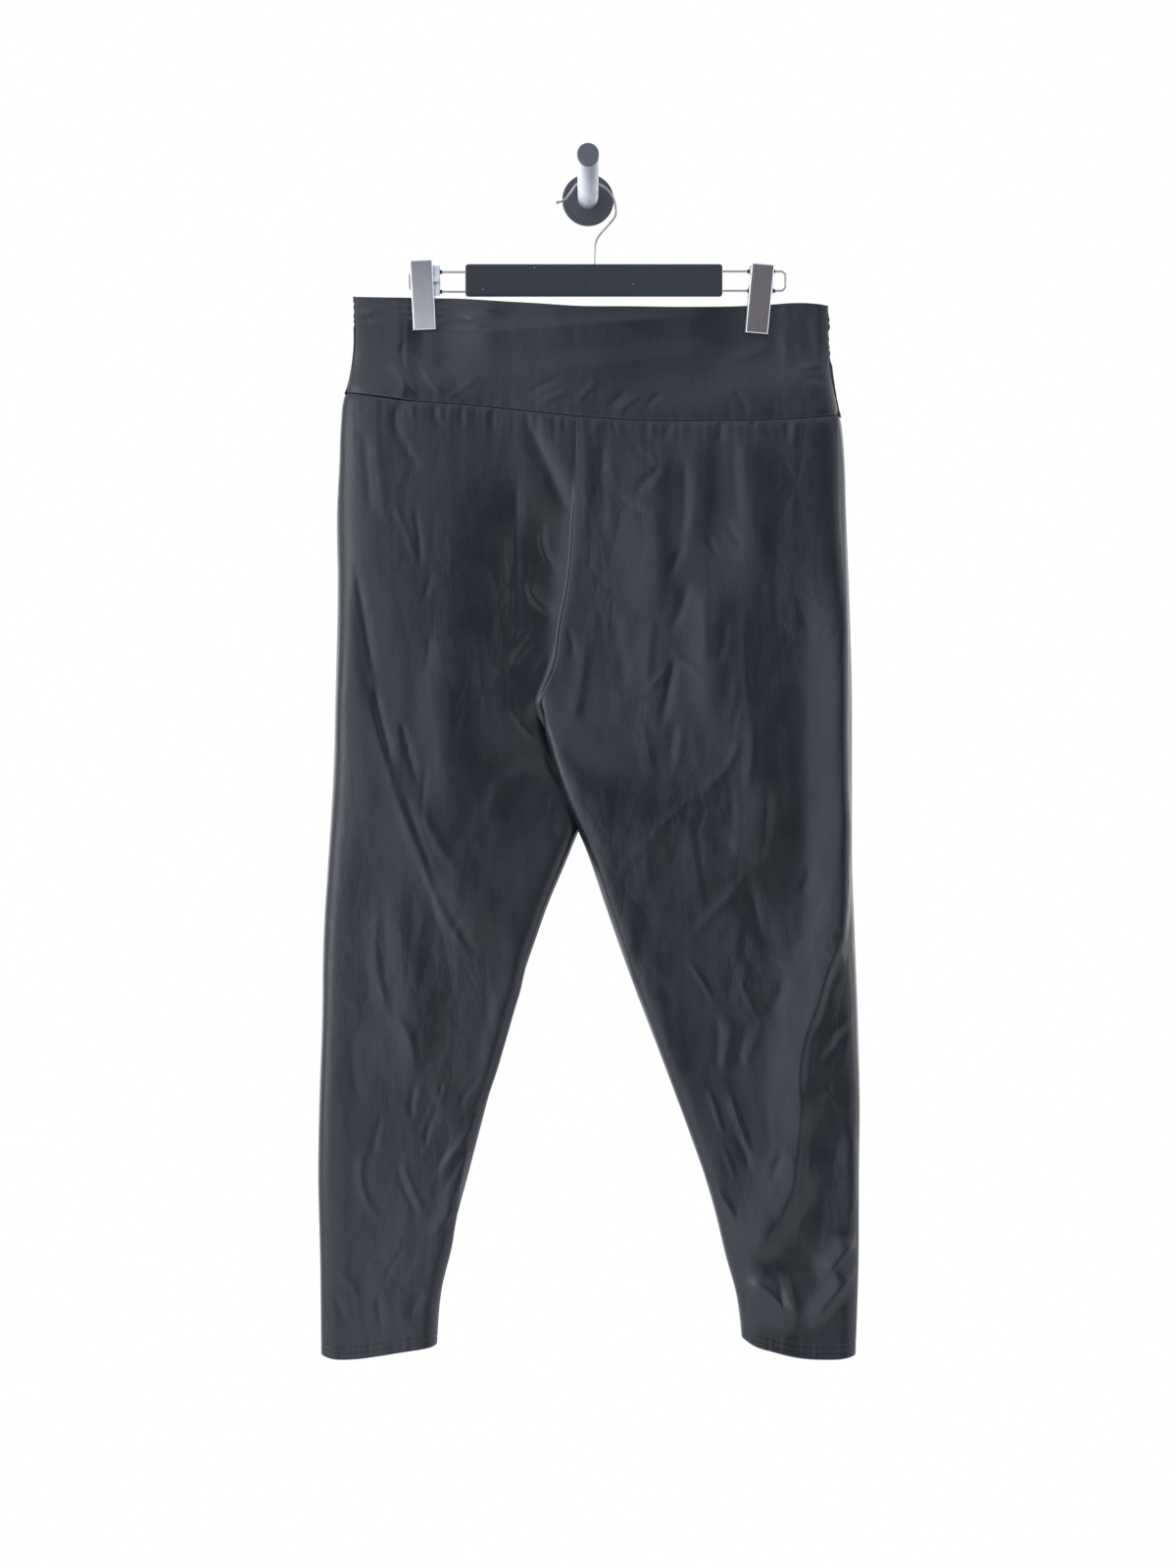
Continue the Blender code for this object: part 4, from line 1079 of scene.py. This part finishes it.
# The rims' steel is glossier and painted much brighter than the plates': a painted highlight.
RIM_HIGHLIGHT_STEEL = brushed_metal("rim_steel_painted_highlight", (0.80, 0.81, 0.83), (0.93, 0.94, 0.95), 0.26)
PLATE_BACKING = brushed_metal("plate_backing", (0.18, 0.18, 0.19), (0.28, 0.28, 0.29), 0.45)
SLIDER_STEEL = brushed_metal("slider_steel", (0.78, 0.80, 0.83), (0.93, 0.95, 0.97), 0.3)
PEG_STEEL = brushed_metal("peg_steel", (0.84, 0.85, 0.88), (0.95, 0.96, 0.98), 0.42, (1, 0.02, 1))
PLATE_BLACK = moulded_plastic("plate_black", (0.042, 0.044, 0.052), (0.060, 0.062, 0.072))
CAP_BLACK = moulded_plastic("cap_black", (0.085, 0.092, 0.108), (0.108, 0.116, 0.134))

# ---------------------------------------------------------------- the leggings

NEAR_SEAM = (0.15, 0.35, 0.7, 1.4, 2.6, 4.4, 6.6)  # columns and rows that follow a seam
NEAR_SIDE = (0.8, 1.8, 3.0, 4.5, 6.5, 9.0, 12.0, 15.0, 18.0)  # and a leg's outer fold
NEAR_TURN = (0.12, 0.35, 0.7, 1.2, 2.2)  # and the rounded edge of the band or the hem
NEAR_CROTCH = (-14, -10, -7, -4.5, -2.5, -1, 0, 1, 2.5, 4.5, 7, 10, 14)
LEG_STEPS = {"front": 112, "back": 40}  # even columns between them
BAND_STEPS = 130  # on each half of a waistband piece
BAND_ROWS = 50
LEG_STEP = 3.3  # between a leg's rows
HEM_ROWS = 10
NEAR_STITCHING = (3, 1.5)  # above it, the leg's last even row and the hem's first
HEM_STEP = 0.8  # above it, where the cloth starts to be double
ROW_SLACK = 0.01
EDGE_LEFT = 0.03  # of half the cloth's thickness, where it ends in a rounded edge

# Distances between which heights set in: from a leg's side fold, from its inner edge, and so on.
CREASES_FROM_SIDE, CREASES_FROM_INNER = (0, 7), (0, 2)
UNEVEN_FROM_SIDE, CALM_INSEAM = (0, 9), (0, 6)
GATHERS_FROM_SEAM, GATHER_LENGTH = (0.5, 4), 12
COCKLE_TO_HEM = (9, 22)
INSEAM_STARTS = (-60, -15)  # from the crotch, between which the rise seam gives way to the inseam
HEM_CALM, HEM_UNCREASED = 0.5, 0.75  # of the unevenness and of the creases, lost at the hem
HEM_CALM_FROM, HEM_UNCREASED_FROM = 30, 40  # above the stitching
BAND_CREASES_FROM_SIDE, BAND_DRAPE_FROM_SIDE, TUCKS_FROM_SIDE = (2, 12), (2, 14), (2, 10)
TUCK_LENGTH, TUCK_SLOPE = 10, 0.2

# The depths of each seam's slit and of the roll beside it, and of a row of stitches and its width.
WAIST_SEAM, RISE_SEAM, BAND_SEAM, SIDE_SEAM = (0.4, 0.6), (0.6, 0.4), (0.8, 0.6), (0.1, 0.1)
STITCH_GROOVE = (0.3, 1.2)

LOOSE_DROPS = (230, 420)  # between which the stretched hips turn into looser thighs
LOOSE = {"left": 0.7, "right": 1.0}  # how uneven each leg is below them
STRETCHED = 0.4  # and the share of it that is left above
DRAPE_AWAY = 2000  # how far a front's place in the noise is from its back's
FACETS_AWAY = 4500
GATHERS_AWAY = 3500
GATHER_SLOPE = 0.12  # how much slower the gathers change down the leg

STITCH_ROWS = (6.4, 11.6)  # above the hem's edge
STITCH_PITCH = 3.4
STITCH_LENGTH = 2.5
STITCH_RADIUS = 0.3
STITCH_PROUD = 0.6  # of its radius, by which the thread's middle is off the cloth
STITCH_SIDES = 6
STITCH_FORM = ((0, 0.25), (0.2, 0.85), (0.5, 1.0), (0.8, 0.85), (1, 0.25))  # places and widths


def leg_levels():
    """Rows close together at the seam, where the legs part, and at the hem."""
    parting = [CROTCH_DROP + d for d in NEAR_CROTCH]
    start = SEAM_DROP + NEAR_SEAM[-1]
    upper = np.linspace(start, parting[0], round((parting[0] - start) / LEG_STEP) + 1)
    rest = HEM_STITCHING - parting[-1]
    last, first = (HEM_STITCHING - d for d in NEAR_STITCHING)
    lower = np.linspace(parting[-1], last, round(rest / LEG_STEP))
    hem = np.linspace(first, HEM_DROP - NEAR_TURN[-1], HEM_ROWS)
    turn = [HEM_DROP - d for d in (*NEAR_TURN[-2::-1], 0)]
    seam = [SEAM_DROP + d for d in (0, *NEAR_SEAM[:-1])]
    return np.array([*seam, *upper, *parting[1:-1], *lower, *hem, *turn])


def leg_height(side, x, drop, from_inner, from_side, is_front, level):
    """How far a leg's face is raised by its creases, its unevenness, its seams and its hem."""
    height = np.zeros(len(x))
    for face, here in (("front", is_front), ("back", ~is_front)):
        height[here] = creased(LEG_CREASES[side, face], x[here], drop[here])
    inseam = smooth_step(drop - CROTCH_DROP, *INSEAM_STARTS)
    calm_inseam = 1 - (1 - smooth_step(from_inner, *CALM_INSEAM)) * inseam
    above = HEM_STITCHING - level
    height *= smooth_step(from_side, *CREASES_FROM_SIDE) * calm_inseam
    height *= smooth_step(from_inner, *CREASES_FROM_INNER)
    height *= 1 - HEM_UNCREASED * (1 - smooth_step(above, 0, HEM_UNCREASED_FROM))

    drape = unevenness(x, drop + DRAPE_AWAY * is_front, DRAPE)
    away = x + FACETS_AWAY * is_front
    loose = LOOSE[side] * (STRETCHED + (1 - STRETCHED) * smooth_step(drop, *LOOSE_DROPS))
    uneven = drape + loose * (unevenness(away, drop, CRUMPLE) + crumpled(away, drop, FACETS))
    uneven *= 1 - HEM_CALM * (1 - smooth_step(above, 0, HEM_CALM_FROM))
    height += uneven * smooth_step(from_side, *UNEVEN_FROM_SIDE) * calm_inseam

    from_seam, from_hem = level - SEAM_DROP, HEM_DROP - level
    gathers = unevenness(x, drop * GATHER_SLOPE + GATHERS_AWAY * is_front, GATHERS)
    gathers *= np.exp(-from_seam / GATHER_LENGTH) * smooth_step(from_seam, *GATHERS_FROM_SEAM)
    cockle = unevenness(x, np.zeros_like(x), COCKLE)
    height += gathers + cockle * (1 - smooth_step(from_hem, *COCKLE_TO_HEM))
    height -= seam_dip(from_seam, *WAIST_SEAM) + seam_dip(from_inner, *RISE_SEAM) * (1 - inseam)
    for row in STITCH_ROWS:
        height -= groove(from_hem - row, *STITCH_GROOVE)
    return height


def leg(side, finishes):
    """One panel: open at the rise above the crotch, and a tube from there to the hem."""
    rings, numbers, levels = [], [], leg_levels()
    count = 0
    for level in levels:
        front, back = (
            resampled(cloth_path(side, face, leg_drop(side, level)), NEAR_SEAM, NEAR_SIDE, steps)
            for face, steps in LEG_STEPS.items()
        )
        ring = np.concatenate([front, back[-2::-1]])
        is_front = np.arange(len(ring)) < len(front)
        ring = np.column_stack([ring, is_front, np.full(len(ring), level)])
        tube = level > CROTCH_DROP - ROW_SLACK
        if tube:
            ring = ring[:-1]
        rings.append(ring)
        row = list(range(count, count + len(ring)))
        count += len(ring)
        numbers.append(row + [row[0]] if tube else row)
    rows = np.concatenate(rings)
    x, drop, _, from_inner, from_side, is_front, level = rows.T[3:]
    height = leg_height(side, x, drop, from_inner, from_side, is_front > 0.5, level)
    turned = level > HEM_STITCHING - HEM_STEP
    thickness = np.where(turned, HEM_THICK, LEG_THICK)
    sink = rounding(HEM_DROP - level, HEM_THICK / 2 - EDGE_LEFT)
    piece, outer, normals = thick_shell(
        f"leg_{side}_cloth", rows[:, :3], woven(numbers, side == "left"), height, thickness, sink,
        finishes, (f"leg_{side}",),
    )
    return piece, hem_stitches(side, levels, numbers, outer, normals)


def hem_stitches(side, levels, numbers, outer, normals):
    """Two rows of raised stitches round the hem, as one mesh."""
    points, faces = [], []
    for level in (HEM_DROP - row for row in STITCH_ROWS):
        after = int(np.searchsorted(levels, level))
        share = (level - levels[after - 1]) / (levels[after] - levels[after - 1])
        above, below = numbers[after - 1], numbers[after]
        ring, out = outer[above] * (1 - share) + outer[below] * share, normals[below]
        along = run_along(ring)
        for k in range(round(along[-1] / STITCH_PITCH)):
            middle = (k + 0.5) * STITCH_PITCH
            ends = (middle - STITCH_LENGTH / 2, middle + STITCH_LENGTH / 2)
            add_stitch(points, faces, *read_at(ends, along, ring), read_at(middle, along, out))
    name = f"hem_stitches_{side}"
    return new_piece(name, drawn_mesh(name, points, faces), [THREAD])


def add_stitch(points, faces, first, last, up):
    """One closed spindle of thread between two points on the cloth, a little proud of it."""
    run = last - first
    axis = run / np.linalg.norm(run)
    across = np.cross(axis, up)
    across = across / np.linalg.norm(across)
    up = np.cross(across, axis)
    rings = [
        (first + run * at + up * STITCH_RADIUS * STITCH_PROUD * wide, STITCH_RADIUS * wide)
        for at, wide in STITCH_FORM
    ]
    add_rings(points, faces, rings, across, up, STITCH_SIDES)


def band_levels():
    """Shares of the band's height: close together at its folded top and at its seam."""
    top = [d / SEAM_DROP for d in (0, *NEAR_TURN)]
    bottom = [1 - d / SEAM_DROP for d in (*NEAR_SEAM[::-1], 0)]
    return [*top[:-1], *np.linspace(top[-1], bottom[0], BAND_ROWS), *bottom[1:]]


def waistband(face, finishes):
    """One face of the doubled band, from side seam to side seam."""
    rows = []
    for level in band_levels():
        halves = []
        for side in ("left", "right"):
            half = resampled(cloth_path(side, face, band_drop(level)), (), NEAR_SEAM, BAND_STEPS)
            half[-1, 1] += TOWARDS[face] * GAP / 2
            half[-2, 0] = half[-1, 0]
            halves.append(half)
        left, right = halves
        row = np.concatenate([left[:0:-1], (left[:1] + right[:1]) / 2, right[1:]])
        rows.append(np.column_stack([row, np.full(len(row), level)]))
    faces = grid(rows, face == "back")
    rows = np.concatenate(rows)
    x, drop, _, _, from_side, level = rows.T[3:]
    from_top, from_seam = level * SEAM_DROP, (1 - level) * SEAM_DROP
    tucks = unevenness(x, drop * TUCK_SLOPE, BAND_TUCKS[face]) * np.exp(-from_seam / TUCK_LENGTH)
    drape = unevenness(x, drop, BAND_DRAPE[face])
    height = creased(BAND_CREASES[face], x, drop)
    height *= smooth_step(from_side, *BAND_CREASES_FROM_SIDE)
    height += drape * smooth_step(from_side, *BAND_DRAPE_FROM_SIDE)
    height += tucks * smooth_step(from_side, *TUCKS_FROM_SIDE)
    height -= seam_dip(from_seam, *BAND_SEAM) + seam_dip(from_side, *SIDE_SEAM)
    sink = rounding(from_top, BAND_THICK / 2 - EDGE_LEFT)
    piece, _, _ = thick_shell(
        f"waistband_{face}_cloth", rows[:, :3], faces, height, BAND_THICK, sink, finishes,
        (f"waistband_{face}",),
    )
    return piece


# ---------------------------------------------------------------- the hanger's small parts

PLATE_BENDS = table("rise out", (0, 5.6), (14, 5.6), (61, 12.6))  # off the hanging plane
PLATE_TOP = PLATE_BENDS[-1].rise
PLATE_SHEET = 1.0
PLATE_HALF = 10.2
PLATE_RIM = table(  # a plate's edge turned back, and the line pressed in just inside it
    "inside sunk",
    (0, 1.5),
    (0, 0.9),
    (0.1, 0.5),
    (0.35, 0.18),
    (0.9, 0),
    (1.2, 0),
    (1.45, 0.22),
    (1.7, 0),
    (2.0, 0),
)
HIGHLIGHT_RIM_WIDTH = 0.8  # of the edge painted bright, a painted highlight
PLATE_COLUMNS = (-5, 0, 5)
PLATE_ROWS = (7, 12.5, 13.5, 14.5, 15.5, 28, 40, 50)

SLIDER_HALF = 10.4
BUSHING = ((-1.5, 1.9), (1.5, 1.9), (2.0, 1.5), (2.2, 1.2))  # along the wire from a slider's end
HOOK_TIP = (-27.4, HANG_Y, -8.3)
BALL_RADIUS = 1.6
BALL_RINGS = 10
TURNED_SIDES = 16


def plate_lines(low, high, middle):
    """Places across a plate from one edge to the other, and how far each is sunk."""
    near = [(low + rim.inside, rim.sunk) for rim in PLATE_RIM]
    far = [(high - rim.inside, rim.sunk) for rim in reversed(PLATE_RIM)]
    return [*near, *[(place, 0) for place in middle], *far]


def clip_plate(clip, face, finishes):
    """A pressed plate: upright at the jaw, spread above it, with a rounded rim turned back."""
    lean = math.radians(clip.lean)
    along_x = np.array([math.cos(lean), 0, -math.sin(lean)])
    along_up = np.array([math.sin(lean), 0, math.cos(lean)])
    foot_z = WAIST_Z - clip.jaw_drop
    foot_x = clip.x - ((clip.upper_z + clip.lower_z) / 2 - foot_z) * math.sin(lean)
    foot = np.array([foot_x, HANG_Y, foot_z])
    rises, outs = zip(*PLATE_BENDS)
    rows, edge = [], []
    for up, row_sunk in plate_lines(0, PLATE_TOP, PLATE_ROWS):
        row = []
        for x, column_sunk in plate_lines(-PLATE_HALF, PLATE_HALF, PLATE_COLUMNS):
            out = TOWARDS[face] * (np.interp(up, rises, outs) - max(row_sunk, column_sunk))
            row.append(foot + along_x * x + along_up * up + (0, out, 0))
            edge.append(min(PLATE_HALF - abs(x), up, PLATE_TOP - up))
        rows.append(row)
    faces = grid(rows, face == "front")
    flat = np.zeros(len(edge))
    name = f"clip_{clip.name}_plate_{face}"
    piece, _, _ = thick_shell(
        f"{name}_pressed", np.concatenate(rows), faces, flat, PLATE_SHEET, flat, finishes,
        (name,),
    )
    # Faces near the plate's edge take the rim steel, painted bright as a highlight.
    for k, quad in enumerate(faces):
        if min(edge[corner] for corner in quad) < HIGHLIGHT_RIM_WIDTH:
            piece.data.polygons[k].material_index = 2
    return piece


def turned_piece(name, forms, finish):
    """Forms turned about X as one piece; each is its middle, the way it faces and its profile."""
    points, faces = [], []
    for middle, way, profile in forms:
        rings = [(np.array(middle) + (way * along, 0, 0), radius) for along, radius in profile]
        add_rings(points, faces, rings, (0, 1, 0), (0, 0, way), TURNED_SIDES)
    mesh = drawn_mesh(name, points, faces, [len(face) == 4 for face in faces])
    return new_piece(name, mesh, [finish])


def bushings(clip):
    """The dark sleeves that a slider's two wires run through."""
    forms = [
        ((clip.slider_x + way * SLIDER_HALF, HANG_Y, z), way, BUSHING)
        for way in (-1, 1)
        for z in (clip.upper_z, clip.lower_z)
    ]
    return turned_piece(f"clip_{clip.name}_bushings", forms, RUBBER)


def hook_ball():
    """The small ball at the hook's tip."""
    turns = [math.pi * (k + 0.5) / BALL_RINGS for k in range(BALL_RINGS)]
    ball = [(-BALL_RADIUS * math.cos(turn), BALL_RADIUS * math.sin(turn)) for turn in turns]
    return turned_piece("hook_ball", [(HOOK_TIP, 1, ball)], WIRE)


# ---------------------------------------------------------------- the view and the light

CAMERA_PLACE = (0, -2.13, -0.5301)  # metres, as all places here
CAMERA_LENS = 53.8
ROOM_WHITE = (1.0, 1.0, 1.0)  # what the camera sees
ROOM_BESIDE = {"left": (0.96, 1.03, 1.15), "right": (0.78, 0.83, 0.92)}  # seen in the edges
ROOM_LEFT = {"low": (1.30, 1.36, 1.50), "level": (1.02, 1.13, 1.36), "high": (1.10, 1.24, 1.50)}
ROOM_RIGHT = {"low": (0.16, 0.165, 0.18), "level": (0.03, 0.033, 0.04), "high": (0.12, 0.13, 0.16)}
ROOM_ABOVE = (1.2, 1.27, 1.4)
LEFT_TO_RIGHT = (-0.42, 0.33)  # shares of a direction's length, between which the room changes
LOW_TO_LEVEL, LEVEL_TO_HIGH, HIGH_TO_ABOVE = (-0.27, -0.04), (0.10, 0.30), (0.30, 0.80)
BESIDE_TO_BEFORE = (0.76, 0.92)
FLOOR_Z = -2.05
FLOOR_HALF = 2.2

SOFTBOXES = table(
    "x y z wide tall watts colour",
    (-1.45, -1.20, -0.30, 1.0, 1.7, 9, (0.90, 0.95, 1.0)),
    (1.75, -0.20, -0.40, 0.8, 1.7, 5, (1.0, 0.99, 0.98)),
    (-1.50, 1.10, -0.20, 1.1, 1.7, 8, (1.0, 1.0, 1.0)),
    (1.50, 1.10, -0.20, 1.1, 1.7, 8, (1.0, 1.0, 1.0)),
)


def placed(name, data, place):
    """Anything that isn't a piece of the object, put in the scene."""
    thing = bpy.data.objects.new(name, data)
    thing.location = place
    bpy.context.scene.collection.objects.link(thing)
    return thing


def set_view():
    data = bpy.data.cameras.new("camera")
    data.lens = CAMERA_LENS
    camera = placed("camera", data, CAMERA_PLACE)
    camera.rotation_euler = (math.pi / 2, 0, 0)
    bpy.context.scene.camera = camera
    bpy.context.scene.view_settings.view_transform = "Standard"


def set_room():
    """The room that the object mirrors, by direction; the camera itself sees white."""
    n = Nodes("world", "worlds")
    x, y, z = n.add("ShaderNodeSeparateXYZ", Vector=n.places["Generated"]).outputs

    def rising(value, ends):
        return n.between(value, *ends, kind="SMOOTHSTEP")

    seen = n.add("ShaderNodeLightPath").outputs["Is Camera Ray"]
    from_left = rising(x, LEFT_TO_RIGHT)
    low, level, high = (n.mixed(from_left, ROOM_LEFT[at], ROOM_RIGHT[at]) for at in ROOM_LEFT)
    viewers_side = n.mixed(rising(z, LOW_TO_LEVEL), low, level)
    viewers_side = n.mixed(rising(z, LEVEL_TO_HIGH), viewers_side, high)
    viewers_side = n.mixed(rising(z, HIGH_TO_ABOVE), viewers_side, ROOM_ABOVE)
    beside_it = n.mixed(from_left, ROOM_BESIDE["left"], ROOM_BESIDE["right"])
    lit = n.mixed(rising(n.maths("ABSOLUTE", y), BESIDE_TO_BEFORE), beside_it, viewers_side)
    n.fill(n.tree.nodes["Background"], {"Color": n.mixed(seen, lit, ROOM_WHITE)})
    bpy.context.scene.world = n.owner


def set_lights():
    for k, box in enumerate(SOFTBOXES):
        light = bpy.data.lights.new(f"softbox_{k}", "AREA")
        light.shape = "RECTANGLE"
        light.size, light.size_y = box.wide, box.tall
        light.energy, light.color = box.watts, box.colour
        stand = placed(f"softbox_{k}", light, (box.x, box.y, box.z))
        towards = Vector((0, HANG_Y * MM, box.z)) - stand.location
        stand.rotation_euler = towards.to_track_quat("-Z", "Y").to_euler()
        stand.visible_camera = False


def lay_floor():
    corners = [(-FLOOR_HALF, -FLOOR_HALF), (FLOOR_HALF, -FLOOR_HALF)]
    corners += [(FLOOR_HALF, FLOOR_HALF), (-FLOOR_HALF, FLOOR_HALF)]
    mesh = bpy.data.meshes.new("floor")
    mesh.from_pydata([(x, y, FLOOR_Z) for x, y in corners], [], [(0, 1, 2, 3)])
    n = Nodes("pale_floor")
    pale = n.mixed(n.noise(3), (0.78, 0.78, 0.78), (0.84, 0.84, 0.84))
    mesh.materials.append(n.finished(Base_Color=pale, Roughness=0.8))
    floor = placed("floor", mesh, (0, 0, 0))
    floor.visible_glossy = False
    floor.visible_diffuse = False


# ---------------------------------------------------------------- putting it together


def finish_node(name, finish):
    """Gives a CAD node that stays its finish."""
    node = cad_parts[name]
    node.data.materials.clear()
    node.data.materials.append(finish)


set_view()
set_room()
set_lights()
lay_floor()

legs = {side: leg(side, (LEG_CLOTH, BACKING)) for side in OUTWARDS}
bands = {face: waistband(face, (BAND_CLOTH, BACKING)) for face in TOWARDS}
hook_ball()
for clip in CLIPS:
    bushings(clip)
    finish_node(f"clip_{clip.name}_slider", SLIDER_STEEL)
    for face in TOWARDS:
        # By clip, the plate steel is a painted lit or painted shaded copy, and the rim steel a
        # painted highlight.
        finishes = (LIT_AND_SHADED_PLATE_STEEL[clip.name], PLATE_BACKING, RIM_HIGHLIGHT_STEEL)
        clip_plate(clip, face, finishes)
        finish_node(f"clip_{clip.name}_pad_{face}", RUBBER)
for name, finish in {
    "hanger_bar": flock(),
    "hanger_hook": WIRE,
    "hanger_loop_left": WIRE,
    "hanger_loop_right": WIRE,
    "peg_plate": PLATE_BLACK,
    "peg_cap": CAP_BLACK,
    "peg_rod": PEG_STEEL,
}.items():
    finish_node(name, finish)
